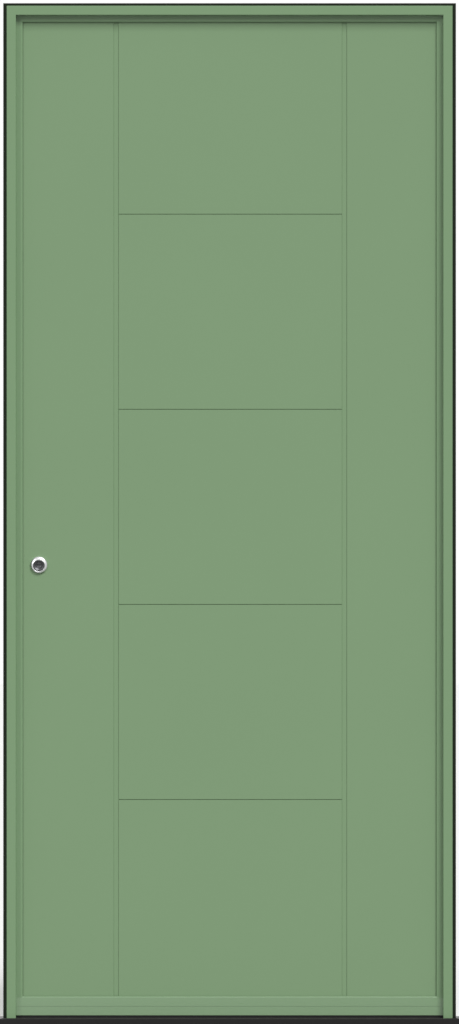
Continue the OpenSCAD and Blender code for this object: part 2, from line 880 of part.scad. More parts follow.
module side_bolt_case(i) {
    z = side_bolt_z[i];
    color(steel)
        case_box(side_case_x1, z - side_case_half, z + side_case_half);
}

// Bolts and their drive
module rod_pin(z) {
    bar_y(rod_pin_x, z, rod_pin_r, rod_y0, bolt_y);
}

module deadbolt() {
    pin_x = lock_x + cam_lift;
    half = cam_pin_r + cam_pin_fit;
    color(steel)
        difference() {
            union() {
                block([edge_x, bolt_y0, deadbolt_span[0]], [edge_x + deadbolt_len, bolt_y1, deadbolt_span[1]]);
                block([edge_x + deadbolt_len / 2, bolt_y0, tail_z0], [tail_x1, bolt_y1, deadbolt_span[1]]);
                rod_pin(deadbolt_z);
            }
            block([pin_x - half, bolt_y0 - over, tail_z0 - over],
                [pin_x + half, bolt_y1 + over, lock_z + cam_arm + half]);
        }
}

module side_bolt(i) {
    z = side_bolt_z[i];
    color(steel)
        union() {
            block([edge_x, bolt_y0, side_spans[i][0]], [edge_x + deadbolt_len, bolt_y1, side_spans[i][1]]);
            rod_pin(z);
        }
}

module drive_rod() {
    half = rod_pin_r + rod_slot_fit;
    color(steel)
        difference() {
            union() {
                block([rod_x0, rod_y0, rod_z0], [rod_x1, rod_y1, rod_z1]);
                for (z = rod_pin_z)
                    block([rod_x0, rod_y0, z - bolt_throw - rod_pad_over], [rod_pad_x1, rod_y1, z + rod_pad_over]);
            }
            for (z = rod_pin_z)
                translate([rod_pin_x, 0, z])
                    rotate([0, -45, 0])
                        block([-bolt_throw * sqrt(2) - half, rod_y0 - over, -half], [half, rod_y1 + over, half]);
        }
}

module latch_bolt() {
    bevel = bolt_t * latch_bevel_share;
    notch = follower_pin_r + part_gap;
    x1 = edge_x + latch_len;
    color(steel)
        difference() {
            union() {
                along_z(latch_span[0], latch_span[1])
                    polygon([[edge_x, bolt_y1], [edge_x, bolt_y0 + bevel], [edge_x + bevel, bolt_y0],
                        [x1, bolt_y0], [x1, bolt_y1]]);
                block([x1 - latch_neck, bolt_y0, latch_span[0]], [x1, bolt_y1, latch_tail_z1]);
                block([x1 - latch_neck, bolt_y0, latch_tail_z0], [latch_tail_x1, bolt_y1, latch_tail_z1]);
            }
            block([follower_pin_x - notch, bolt_y0 - over, latch_tail_z0 - over],
                [follower_pin_x + notch, bolt_y1 + over, knob_z + follower_arm + notch]);
        }
}

module latch_follower() {
    hole = spindle_w / 2 + screw_fit;
    pin_z = knob_z + follower_arm * cos(knob_turn / 2);
    color(gunmetal)
        difference() {
            union() {
                bar_y(lock_x, knob_z, follower_journal_r, case_y0, case_y1);
                bar_y(lock_x, knob_z, follower_hub_r,
                    case_y0 + case_wall + part_gap, case_y1 - case_wall - part_gap);
                translate([lock_x, 0, knob_z])
                    rotate([0, knob_turn / 2, 0])
                        block([-follower_web_w / 2, cam_y0, 0], [follower_web_w / 2, cam_y1, follower_arm]);
                bar_y(follower_pin_x, pin_z, follower_pin_r, bolt_y, cam_y1);
            }
            block([lock_x - hole, case_y0 - over, knob_z - hole], [lock_x + hole, case_y1 + over, knob_z + hole]);
        }
}

module knob_spindle() {
    half = spindle_w / 2;
    color(steel)
        block([lock_x - half, case_y0, knob_z - half],
            [lock_x + half, leaf_y1 + knob_neck_len, knob_z + half]);
}

module turn_knob() {
    y0 = leaf_y1 + part_gap;
    y1 = leaf_y1 + knob_neck_len;
    y2 = y1 + knob_len;
    hole = spindle_w / 2 + screw_fit;
    step = knob_len / 4;
    shape = [[0, y0], [knob_neck_r - run_fit, y0], [knob_neck_r - run_fit, y1], [knob_r, y1 + step],
        [knob_r, y2 - step], [knob_r * knob_face_share, y2], [0, y2]];
    color(steel)
        difference() {
            turned_on_y(lock_x, knob_z)
                polygon(rounded(shape, [0, edge_r, step, step, step, step, 0]));
            block([lock_x - hole, y0 - over, knob_z - hole], [lock_x + hole, y1 + screw_fit, knob_z + hole]);
        }
}

module rose(z, r, bore_r) {
    color(steel)
        turned_on_y(lock_x, z)
            polygon(rounded([[bore_r, leaf_y1], [r, leaf_y1], [r, leaf_y1 + rose_h], [bore_r, leaf_y1 + rose_h]],
                [0, 0, rose_h / 3, 0]));
}

module thumbturn() {
    y1 = leaf_y1 + rose_h;
    wing_half = thumb_wing_w / 2;
    half_t = thumb_wing_t / 2;
    slot_w = tailpiece_w / 2 + screw_fit;
    slot_t = tailpiece_t / 2 + screw_fit;
    color(steel)
        difference() {
            union() {
                bar_y(lock_x, lock_z, thumb_shaft_r, filling_y1, y1 + part_gap);
                along_y(y1 + part_gap, y1 + thumb_wing_h)
                    translate([lock_x, lock_z])
                        polygon(rounded([[-half_t, -wing_half], [half_t, -wing_half], [half_t, wing_half],
                            [-half_t, wing_half]],
                            [half_t / 2, half_t / 2, half_t / 2, half_t / 2]));
            }
            block([lock_x - slot_t, filling_y1 - over, lock_z - slot_w], [lock_x + slot_t, y1, lock_z + slot_w]);
        }
}

module tailpiece() {
    blade_half = tailpiece_w / 2;
    half_t = tailpiece_t / 2;
    color(steel)
        block([lock_x - half_t, case_y0 - tailpiece_seat, lock_z - blade_half],
            [lock_x + half_t, leaf_y1 + rose_h - screw_fit, lock_z + blade_half]);
}

module bolt_cam() {
    slot_w = tailpiece_w / 2 + screw_fit;
    slot_t = tailpiece_t / 2 + screw_fit;
    color(gunmetal)
        difference() {
            union() {
                bar_y(lock_x, lock_z, cam_r, cam_y0, cam_y1);
                bar_y(lock_x, lock_z, cam_hub_r, cam_y0, case_y1);
                bar_y(lock_x + cam_lift, lock_z + cam_lift, cam_pin_r, cam_y0 - cam_pin_reach, cam_y1);
            }
            block([lock_x - slot_t, cam_y0 - over, lock_z - slot_w],
                [lock_x + slot_t, case_y1 + over, lock_z + slot_w]);
        }
}

// Cylinder in its dished collar
module cylinder_collar() {
    rim_r = collar_r * collar_rim_share;
    mouth_r = collar_r * collar_mouth_share;
    front = leaf_y0 - collar_h;
    bore_r = cylinder_r + part_gap;
    lip_y = cylinder_y0 - part_gap;
    rim_round = (collar_r - rim_r) / 4;
    color(chrome)
        turned_on_y(lock_x, lock_z)
            polygon(rounded([[bore_r, leaf_y0], [collar_r, leaf_y0], [collar_r, leaf_y0 - collar_land],
                [rim_r, front], [mouth_r, lip_y], [bore_r, lip_y]],
                [0, 0, collar_land * collar_round_share, rim_round, 0, 0]));
}

module cylinder_body() {
    color(gunmetal)
        difference() {
            bar_y(lock_x, lock_z, cylinder_r, cylinder_y0, case_y0);
            bar_y(lock_x, lock_z, plug_r + run_fit, cylinder_y0 - over, case_y0 + over);
        }
}

module cylinder_plug() {
    slot_w = tailpiece_w / 2 + screw_fit;
    slot_t = tailpiece_t / 2 + screw_fit;
    keyway_half = keyway_w / 2;
    half_h = keyway_h / 2;
    color(gunmetal)
        difference() {
            bar_y(lock_x, lock_z, plug_r, cylinder_y0, case_y0 + case_wall);
            block([lock_x - keyway_half, cylinder_y0 - over, lock_z - half_h],
                [lock_x + keyway_half, cylinder_y0 + keyway_d, lock_z + half_h]);
            block([lock_x - slot_t, case_y0 - tailpiece_seat, lock_z - slot_w],
                [lock_x + slot_t, case_y1, lock_z + slot_w]);
        }
}

// Fasteners
module strike_screws() {
    color(steel)
        for (span = concat([main_strike_z], side_strikes_z), z = strike_screw_z(span))
            screw_x(-rebate_x, z, -1);
}

module faceplate_screws() {
    color(steel)
        faceplate_screw_places()
            screw_x(edge_x, 0, 1);
}

module hinge_frame_screws() {
    color(steel)
        for (z = hinge_z)
            frame_screw_places(z)
                plate_screw();
}

module hinge_leaf_screws() {
    color(steel)
        for (z = hinge_z)
            leaf_screw_places(z)
                plate_screw();
}

jamb_lock_side();
jamb_hinge_side();
head();
sill();
corner_cleats();
threshold_base();
base_cap(-1);  // base_cap_lock_side
base_cap(1);  // base_cap_hinge_side
wall_seal(-1);  // wall_seal_lock_side
wall_seal(1);  // wall_seal_hinge_side
wall_seal_head();
gasket_jamb(-1);  // gasket_lock_side
gasket_jamb(1);  // gasket_hinge_side
gasket_bar(top_z - face_w - gasket_mid, gasket_head_x);  // gasket_head
gasket_bar(sill_top_z - gasket_mid, rebate_x - part_gap);  // gasket_sill
strike(main_strike_z, [deadbolt_span, latch_span]);  // strike_main
strike(side_strikes_z[1], [side_spans[1]]);  // strike_upper
strike(side_strikes_z[0], [side_spans[0]]);  // strike_lower
strike_screws();
hinge_frame_half(0);  // hinge_frame_half_bottom
hinge_frame_half(1);  // hinge_frame_half_middle
hinge_frame_half(2);  // hinge_frame_half_top
hinge_pin(0);  // hinge_pin_bottom
hinge_pin(1);  // hinge_pin_middle
hinge_pin(2);  // hinge_pin_top
hinge_frame_screws();
outer_skin();
inner_skin();
insulation_core();
lock_stile();
hinge_stile();
rail(core_z1);  // top_rail
rail(filling_z0);  // bottom_rail
hinge_leaf_half(0);  // hinge_leaf_half_bottom
hinge_leaf_half(1);  // hinge_leaf_half_middle
hinge_leaf_half(2);  // hinge_leaf_half_top
hinge_leaf_screws();
lock_faceplate();
faceplate_screws();
main_lock_case();
side_bolt_case(1);  // upper_bolt_case
side_bolt_case(0);  // lower_bolt_case
cylinder_collar();
cylinder_body();
rose(knob_z, rose_r, knob_neck_r);  // knob_rose
rose(lock_z, thumb_rose_r, thumb_shaft_r + run_fit);  // thumbturn_rose
latch_bolt();
deadbolt();
side_bolt(1);  // upper_bolt
side_bolt(0);  // lower_bolt
drive_rod();
turn_knob();
knob_spindle();
latch_follower();
thumbturn();
tailpiece();
bolt_cam();
cylinder_plug();
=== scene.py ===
import math

import bmesh
import bpy
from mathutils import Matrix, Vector


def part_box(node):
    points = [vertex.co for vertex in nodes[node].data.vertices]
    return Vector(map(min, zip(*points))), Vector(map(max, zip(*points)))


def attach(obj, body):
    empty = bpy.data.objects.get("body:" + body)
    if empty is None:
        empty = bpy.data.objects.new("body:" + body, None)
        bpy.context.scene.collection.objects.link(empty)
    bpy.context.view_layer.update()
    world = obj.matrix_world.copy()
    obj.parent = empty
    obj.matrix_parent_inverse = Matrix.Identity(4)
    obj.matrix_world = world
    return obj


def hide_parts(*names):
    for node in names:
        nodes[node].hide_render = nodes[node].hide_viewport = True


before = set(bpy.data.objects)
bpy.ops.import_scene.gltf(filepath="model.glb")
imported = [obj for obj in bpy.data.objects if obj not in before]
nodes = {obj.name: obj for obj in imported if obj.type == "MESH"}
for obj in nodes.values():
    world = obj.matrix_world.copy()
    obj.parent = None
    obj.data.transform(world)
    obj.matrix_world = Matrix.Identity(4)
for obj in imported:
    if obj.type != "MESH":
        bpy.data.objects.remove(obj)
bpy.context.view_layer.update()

scene = bpy.context.scene
tiny = 1e-6  # points nearer than this are one point
print("frame loaded:", len(nodes), "nodes")


# node helpers, for shader and geometry trees alike

noiseSpan = (0.25, 0.75)  # nearly all values of a noise texture lie here
noiseMiddle = sum(noiseSpan) / 2
noiseGain = 2 / (noiseSpan[1] - noiseSpan[0])  # brings that span to -1..1 about the middle


def addNode(tree, kind, inputs=None, **settings):
    node = tree.nodes.new(kind)
    for key, value in settings.items():
        setattr(node, key, value)
    for key, value in (inputs or {}).items():
        if isinstance(value, bpy.types.NodeSocket):
            tree.links.new(value, node.inputs[key])
        else:
            node.inputs[key].default_value = value
    return node


def mathNode(tree, operation, a, b=0.0):
    return addNode(tree, "ShaderNodeMath", {0: a, 1: b}, operation=operation).outputs[0]


def noiseNode(tree, place, scale, detail, **more):
    inputs = {"Vector": place, "Scale": scale, "Detail": detail, **more}
    return addNode(tree, "ShaderNodeTexNoise", inputs).outputs[0]


def mapRange(tree, value, low, high):  # a noise's usual span to low..high
    inputs = {"Value": value, "From Min": noiseSpan[0], "From Max": noiseSpan[1],
              "To Min": low, "To Max": high}
    return addNode(tree, "ShaderNodeMapRange", inputs).outputs[0]


def mixColour(tree, factor, a, b):
    return addNode(tree, "ShaderNodeMix", {0: factor, 6: a, 7: b}, data_type="RGBA").outputs[2]


def stretchPlace(tree, place, stretch):
    return addNode(tree, "ShaderNodeVectorMath", {0: place, 1: stretch}, operation="MULTIPLY").outputs[0]


def newTree(name, kind, inputs, outputs):  # a node group, with its inputs and outputs as seen from inside
    tree = bpy.data.node_groups.new(name, kind)
    for label, socketKind, value in inputs:
        socket = tree.interface.new_socket(label, in_out="INPUT", socket_type=socketKind)
        if value is not None:
            socket.default_value = value
    for label, socketKind in outputs:
        tree.interface.new_socket(label, in_out="OUTPUT", socket_type=socketKind)
    return tree, tree.nodes.new("NodeGroupInput").outputs, tree.nodes.new("NodeGroupOutput").inputs


def shaderGroup(name, inputs, outputs):
    return newTree(name, "ShaderNodeTree", inputs, [(label, "NodeSocketFloat") for label in outputs])


def geometryTree(name, inputs):
    shape = ("Geometry", "NodeSocketGeometry")
    return newTree(name, "GeometryNodeTree", [shape + (None,)] + inputs, [shape])


def placeGroup(tree, group, inputs):
    return addNode(tree, "ShaderNodeGroup", inputs, node_tree=group).outputs


def screenColour(red, green, blue):  # 0..255 as seen on a screen, to linear
    return tuple(((c / 255 + 0.055) / 1.055) ** 2.4 for c in (red, green, blue)) + (1.0,)


# shared effects of the finishes

dustSpec = {"colour": (176, 172, 160), "patchScale": 38.0, "patchShares": (0.4, 1.0), "rough": 0.4}
brushSpec = {"lineShare": 0.6, "cloudScale": 45.0, "shade": 0.9}


def makeCoatPeel():  # stipple of a sprayed or moulded skin, with slow waves and a slow change of tone
    tree, given, out = shaderGroup("coatPeel", [
        ("Vector", "NodeSocketVector", None), ("Grain Scale", "NodeSocketFloat", 700.0),
        ("Wave Scale", "NodeSocketFloat", 5.0), ("Wave Share", "NodeSocketFloat", 0.3),
        ("Tone Scale", "NodeSocketFloat", 2.3), ("Tone Spread", "NodeSocketFloat", 0.02)],
        ["Height", "Tone", "Grain"])
    place = given["Vector"]
    grain = noiseNode(tree, place, scale=given["Grain Scale"], detail=2.0, Roughness=0.55)
    wave = noiseNode(tree, place, scale=given["Wave Scale"], detail=1.0)
    tone = noiseNode(tree, place, scale=given["Tone Scale"], detail=3.0)
    height = mathNode(tree, "ADD", grain, mathNode(tree, "MULTIPLY", wave, given["Wave Share"]))
    centred = mathNode(tree, "SUBTRACT", tone, noiseMiddle)
    reach = mathNode(tree, "MULTIPLY", given["Tone Spread"], noiseGain)
    spread = mathNode(tree, "MULTIPLY", centred, reach)
    tree.links.new(height, out["Height"])
    tree.links.new(mathNode(tree, "ADD", spread, 1.0), out["Tone"])
    tree.links.new(grain, out["Grain"])
    return tree


def makeSettledDust():  # dust on what faces up, broken by noise
    tree, given, out = shaderGroup("settledDust", [
        ("Vector", "NodeSocketVector", None), ("Amount", "NodeSocketFloat", 0.1)], ["Mask"])
    normal = addNode(tree, "ShaderNodeNewGeometry").outputs["Normal"]
    facing = addNode(tree, "ShaderNodeSeparateXYZ", {0: normal}).outputs["Z"]
    up = mathNode(tree, "POWER", mathNode(tree, "MAXIMUM", facing, 0.0), 2.0)
    patch = noiseNode(tree, given["Vector"], scale=dustSpec["patchScale"], detail=4.0)
    broken = mathNode(tree, "MULTIPLY", up, mapRange(tree, patch, *dustSpec["patchShares"]))
    tree.links.new(mathNode(tree, "MULTIPLY", broken, given["Amount"]), out["Mask"])
    return tree


def makeBrushLines():  # fine streaks of a brushed or drawn metal along one axis
    tree, given, out = shaderGroup("brushLines", [
        ("Vector", "NodeSocketVector", None), ("Across", "NodeSocketVector", (3000.0, 3000.0, 60.0))],
        ["Height", "Streak"])
    line = noiseNode(tree, stretchPlace(tree, given["Vector"], given["Across"]), scale=1.0, detail=3.0)
    cloud = noiseNode(tree, given["Vector"], scale=brushSpec["cloudScale"], detail=2.0)
    streak = mathNode(tree, "ADD", mathNode(tree, "MULTIPLY", line, brushSpec["lineShare"]),
                      mathNode(tree, "MULTIPLY", cloud, 1 - brushSpec["lineShare"]))
    tree.links.new(line, out["Height"])
    tree.links.new(streak, out["Streak"])
    return tree


coatPeel = makeCoatPeel()
settledDust = makeSettledDust()
brushLines = makeBrushLines()


# finishes: coats by their tone on a screen, metals by their linear colour; bumps are strength and metres

coatSpec = {
    # framePaint, sillPaint and leafPaint are one green paint; their tones are set a little apart as painted
    # light and shade, so that each copy renders alike under its own gloss and light
    "framePaint": {"tone": (119.5, 150.5, 111.3), "rough": (0.22, 0.28), "specular": 0.5, "dust": 0.10,
                   "grainScale": 900.0, "waveShare": 0.1, "toneSpread": 0.012, "bump": (0.06, 0.0003)},
    "sillPaint": {"tone": (118.8, 150.6, 110.8), "rough": (0.16, 0.22), "specular": 1.0, "dust": 0.06,
                  "grainScale": 900.0, "waveShare": 0.1, "toneSpread": 0.012, "bump": (0.04, 0.0003)},
    "leafPaint": {"tone": (123.5, 152, 115), "rough": (0.34, 0.42), "specular": 0.35, "dust": 0.08,
                  "grainScale": 700.0, "waveShare": 0.6, "toneSpread": 0.014, "bump": (0.06, 0.0003)},
    "sealRubber": {"tone": (23, 31, 20), "rough": (0.62, 0.80), "specular": 0.13, "dust": 0.10,
                   "grainScale": 1600.0, "waveShare": 0.2, "toneSpread": 0.05, "bump": (0.15, 0.0002)},
    "darkAnodised": {"tone": (23, 22, 22), "rough": (0.38, 0.50), "specular": 0.2, "dust": 0.06,
                     "grainScale": 2600.0, "waveShare": 0.1, "toneSpread": 0.03, "bump": (0.04, 0.0001)},
}
metalSpec = {
    "satinSteel": {"colour": (0.60, 0.60, 0.59), "rough": (0.26, 0.40), "across": (2600.0, 2600.0, 50.0),
                   "bump": (0.05, 0.0001)},
    "zincSteel": {"colour": (0.52, 0.53, 0.54), "rough": (0.34, 0.50), "across": (700.0, 700.0, 90.0),
                  "bump": (0.05, 0.0001)},
    "polishedChrome": {"colour": (0.58, 0.585, 0.59), "rough": (0.24, 0.30), "across": (300.0, 300.0, 300.0),
                       "bump": (0.01, 0.0001)},
    "darkGunmetal": {"colour": (0.075, 0.075, 0.08), "rough": (0.28, 0.42), "across": (2600.0, 60.0, 2600.0),
                     "bump": (0.05, 0.0001)},
}
woodSpec = {"along": 1.2, "across": 30.0, "ringScale": 5.5, "gain": 2.0, "pale": (201, 165, 116),
            "deep": (164, 122, 74), "rough": (0.55, 0.72), "specular": 0.3, "bump": (0.15, 0.0003)}
# the darker of the two board colours is painted shade inside the hollow cells; the paler one is the paper
# walls
boardSpec = {"cellScale": 70.0, "gain": 2.0, "wall": (196, 170, 130), "cellShade": (120, 98, 66),
             "rough": (0.8, 0.95), "specular": 0.2, "bump": (0.4, 0.001)}


def newFinish(name, **constants):
    finish = bpy.data.materials.new(name)
    finish.use_nodes = True
    tree = finish.node_tree
    shader = tree.nodes["Principled BSDF"]
    for key, value in constants.items():
        shader.inputs[key.replace("_", " ")].default_value = value
    place = addNode(tree, "ShaderNodeTexCoord").outputs["Object"]
    return finish, tree, shader, place


def addBump(tree, shader, height, strength, distance):
    bump = addNode(tree, "ShaderNodeBump", {"Height": height, "Strength": strength, "Distance": distance})
    tree.links.new(bump.outputs[0], shader.inputs["Normal"])


def coatedFinish(name, s):
    finish, tree, shader, place = newFinish(name, Specular_IOR_Level=s["specular"])
    peel = placeGroup(tree, coatPeel, {"Vector": place, "Grain Scale": s["grainScale"],
                                       "Wave Share": s["waveShare"], "Tone Spread": s["toneSpread"]})
    mask = placeGroup(tree, settledDust, {"Vector": place, "Amount": s["dust"]})["Mask"]
    toned = addNode(tree, "ShaderNodeVectorMath", {0: screenColour(*s["tone"])[:3], "Scale": peel["Tone"]},
                    operation="SCALE")
    dusted = mixColour(tree, mask, toned.outputs[0], screenColour(*dustSpec["colour"]))
    dulled = mathNode(tree, "ADD", mapRange(tree, peel["Grain"], *s["rough"]),
                      mathNode(tree, "MULTIPLY", mask, dustSpec["rough"]))
    tree.links.new(dusted, shader.inputs["Base Color"])
    tree.links.new(dulled, shader.inputs["Roughness"])
    addBump(tree, shader, peel["Height"], *s["bump"])
    return finish


def metalFinish(name, s):
    finish, tree, shader, place = newFinish(name, Metallic=1.0)
    lines = placeGroup(tree, brushLines, {"Vector": place, "Across": s["across"]})
    bright = s["colour"] + (1.0,)
    deeper = tuple(c * brushSpec["shade"] for c in s["colour"]) + (1.0,)
    streaked = mixColour(tree, mapRange(tree, lines["Streak"], 0.0, 1.0), deeper, bright)
    tree.links.new(streaked, shader.inputs["Base Color"])
    tree.links.new(mapRange(tree, lines["Streak"], *s["rough"]), shader.inputs["Roughness"])
    addBump(tree, shader, lines["Height"], *s["bump"])
    return finish


def makeSoftwood(name, alongX):  # planed softwood, its grain up a stile or along a rail
    s = woodSpec
    finish, tree, shader, place = newFinish(name, Specular_IOR_Level=s["specular"])
    along, across = s["along"], s["across"]
    grain = stretchPlace(tree, place, (along, across, across) if alongX else (across, across, along))
    drift = noiseNode(tree, grain, scale=1.0, detail=3.0)
    rings = noiseNode(tree, grain, scale=s["ringScale"], detail=4.0, Distortion=0.6)
    mixed = mathNode(tree, "MULTIPLY", mathNode(tree, "MULTIPLY", drift, rings), s["gain"])
    ramp = addNode(tree, "ShaderNodeValToRGB", {"Fac": mapRange(tree, mixed, 0.0, 1.0)})
    ramp.color_ramp.elements[0].color = screenColour(*s["pale"])
    ramp.color_ramp.elements[1].color = screenColour(*s["deep"])
    tree.links.new(ramp.outputs[0], shader.inputs["Base Color"])
    tree.links.new(mapRange(tree, rings, *s["rough"]), shader.inputs["Roughness"])
    addBump(tree, shader, rings, *s["bump"])
    return finish


def makeCoreBoard():  # honeycomb board inside the leaf
    s = boardSpec
    finish, tree, shader, place = newFinish("coreBoard", Specular_IOR_Level=s["specular"])
    cells = addNode(tree, "ShaderNodeTexVoronoi", {"Vector": place, "Scale": s["cellScale"]},
                    feature="DISTANCE_TO_EDGE").outputs["Distance"]
    inside = mapRange(tree, mathNode(tree, "MULTIPLY", cells, s["gain"]), 0.0, 1.0)
    # the middles of the cells take the darker brown: painted shade inside the hollow cells
    tone = mixColour(tree, inside, screenColour(*s["wall"]), screenColour(*s["cellShade"]))
    tree.links.new(tone, shader.inputs["Base Color"])
    tree.links.new(mapRange(tree, cells, *s["rough"]), shader.inputs["Roughness"])
    addBump(tree, shader, inside, *s["bump"])
    return finish


finishes = {name: coatedFinish(name, s) for name, s in coatSpec.items()}
finishes.update({name: metalFinish(name, s) for name, s in metalSpec.items()})
finishes["softwoodUp"] = makeSoftwood("softwoodUp", False)
finishes["softwoodAcross"] = makeSoftwood("softwoodAcross", True)
finishes["coreBoard"] = makeCoreBoard()
print("finishes made:", len(finishes))


# each CAD node takes the first finish that lists the start of its name

nodeStarts = {
    "framePaint": ("jamb_", "head"),
    "sillPaint": ("sill",),
    "leafPaint": ("outer_skin", "inner_skin"),
    "sealRubber": ("wall_seal", "gasket", "base_cap"),
    "darkAnodised": ("threshold_base",),
    "softwoodUp": ("lock_stile", "hinge_stile"),
    "softwoodAcross": ("top_rail", "bottom_rail"),
    "coreBoard": ("insulation_core",),
    "polishedChrome": ("cylinder_collar",),
    "darkGunmetal": ("cylinder_", "bolt_cam", "latch_follower"),
    "satinSteel": ("turn_knob", "knob_rose", "thumbturn", "lock_faceplate", "strike_", "hinge_"),
    "zincSteel": ("",),  # all that is left
}
for name, node in nodes.items():
    finish = next(finish for finish, starts in nodeStarts.items() if name.startswith(starts))
    node.data.materials.clear()
    node.data.materials.append(finishes[finish])
print("nodes finished")


# mesh helpers

def newPiece(name, mesh, finish, body, slotName, *replaced):
    mesh.materials.clear()
    mesh.materials.append(finishes[finish])
    piece = bpy.data.objects.new(name, mesh)
    scene.collection.objects.link(piece)
    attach(piece, body)
    if replaced:
        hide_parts(*replaced)


def settleMesh(obj):  # the evaluated shape as a plain mesh, without the object
    scene.collection.objects.link(obj)
    bpy.context.view_layer.update()
    shape = obj.evaluated_get(bpy.context.evaluated_depsgraph_get())
    mesh = bpy.data.meshes.new_from_object(shape)
    bpy.data.objects.remove(obj)
    return mesh


def smoothMesh(mesh, angle=35):
    mesh.shade_smooth()
    mesh.set_sharp_from_angle(angle=math.radians(angle))
    return mesh


def finishMesh(work, name):  # the worked shape as a mesh, its faces turned outwards
    bmesh.ops.recalc_face_normals(work, faces=work.faces)
    mesh = bpy.data.meshes.new(name)
    work.to_mesh(mesh)
    work.free()
    return mesh


def joinMesh(mesh, otherMesh, operation):
    whole = bpy.data.objects.new("whole", mesh)
    other = bpy.data.objects.new("other", otherMesh)
    scene.collection.objects.link(other)
    join = whole.modifiers.new("join", "BOOLEAN")
    join.operation = operation
    join.solver = "EXACT"
    join.object = other
    settled = settleMesh(whole)
    bpy.data.objects.remove(other)
    return settled


def bridgeRings(work, one, two):
    for k in range(len(one)):
        n = (k + 1) % len(one)
        work.faces.new((one[k], one[n], two[n], two[k]))


def loftRings(work, rings):  # rings joined in turn, with a cap on the first and the last
    for one, two in zip(rings, rings[1:]):
        bridgeRings(work, one, two)
    work.faces.new(rings[0])
    work.faces.new(rings[-1])


def latheMesh(profile, centre, segments=96):  # closed profile of (radius, y), turned about an axis along Y
    work = bmesh.new()
    turns = [2 * math.pi * k / segments for k in range(segments)]
    rings = []
    for radius, y in profile:
        spots = [(centre.x + radius * math.sin(a), y, centre.z + radius * math.cos(a)) for a in turns]
        if radius < tiny:  # a pole is one point
            spots = [(centre.x, y, centre.z)]
        rings.append([work.verts.new(spot) for spot in spots])
    for one, two in zip(rings, rings[1:] + rings[:1]):
        for k in range(segments):
            n = k + 1
            corners = [one[k % len(one)], one[n % len(one)], two[n % len(two)], two[k % len(two)]]
            unique = list(dict.fromkeys(corners))
            if len(unique) > 2:
                work.faces.new(unique)
    return smoothMesh(finishMesh(work, "turned"))


def blockMesh(low, high):
    work = bmesh.new()
    corners = [work.verts.new((x, y, z)) for x in (low[0], high[0]) for y in (low[1], high[1])
               for z in (low[2], high[2])]
    for face in ((0, 1, 3, 2), (4, 6, 7, 5), (0, 4, 5, 1), (2, 3, 7, 6), (0, 2, 6, 4), (1, 5, 7, 3)):
        work.faces.new([corners[k] for k in face])
    return finishMesh(work, "block")


def arcPoints(centre, radius, start, end, steps):  # degrees, 0 along the first axis
    found = []
    for k in range(steps + 1):
        a = math.radians(start + (end - start) * k / steps)
        found.append((centre[0] + radius * math.cos(a), centre[1] + radius * math.sin(a)))
    return found


def middleOf(node):
    low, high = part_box(node)
    return (low + high) / 2


# leaf skins: folded sheets, the outer one with pressed channels and grooves

skinSpec = {
    "sheet": 0.0012, "foldRadius": 0.0016, "foldSteps": 5,
    "channelX": 0.246, "channelShift": 0.0015, "channelWidth": 0.012, "channelDepth": 0.0024,
    "channelEnd": 0.005, "channelLip": 0.0007, "channelFloor": 0.0007,
    "grooveWidth": 0.002, "grooveDepth": 0.0025, "grooveLip": 0.0003, "grooveFloor": 0.00025,
    "panelHeight": 0.4206, "grooveShift": 0.00495, "grooveCount": 4,
    "wallSlope": 80, "backDraft": 0.12, "arcSteps": 5, "lineDigits": 6,
    "cylinderHole": 0.0123, "knobHole": 0.0105, "turnHole": 0.0083, "drillReach": 0.02, "drillSides": 48,
}


def pressProfile(depth, lip, floor):  # depth over the distance in from a pressing's edge
    slope, steps = math.radians(skinSpec["wallSlope"]), skinSpec["arcSteps"]
    wall = (depth - (lip + floor) * (1 - math.cos(slope))) / math.sin(slope)
    reach = (lip + floor) * math.sin(slope) + wall * math.cos(slope)
    turns = [slope * k / steps for k in range(steps + 1)]
    top = [(lip * math.sin(a), lip * (1 - math.cos(a))) for a in turns]
    low = [(reach - floor * math.sin(a), depth - floor * (1 - math.cos(a))) for a in reversed(turns)]
    return top + low


def depthAt(profile, inset):
    if inset <= profile[0][0]:
        return 0.0
    for (d0, y0), (d1, y1) in zip(profile, profile[1:]):
        if inset <= d1:
            return y0 + (y1 - y0) * (inset - d0) / (d1 - d0)
    return profile[-1][1]


def pressingsOf(low, high):  # each is middle x, middle z, half width, half height, profile, depth
    s = skinSpec
    middle = (low.z + high.z) / 2
    channel = pressProfile(s["channelDepth"], s["channelLip"], s["channelFloor"])
    groove = pressProfile(s["grooveDepth"], s["grooveLip"], s["grooveFloor"])
    tall = (high.z - low.z) / 2 - s["channelEnd"]
    found = []
    for side in (-1, 1):
        x = s["channelShift"] + side * s["channelX"]
        found.append((x, middle, s["channelWidth"] / 2, tall, channel, s["channelDepth"]))
    for k in range(s["grooveCount"]):
        z = middle + s["grooveShift"] + (k - (s["grooveCount"] - 1) / 2) * s["panelHeight"]
        found.append((s["channelShift"], z, s["channelX"], s["grooveWidth"] / 2, groove, s["grooveDepth"]))
    return found


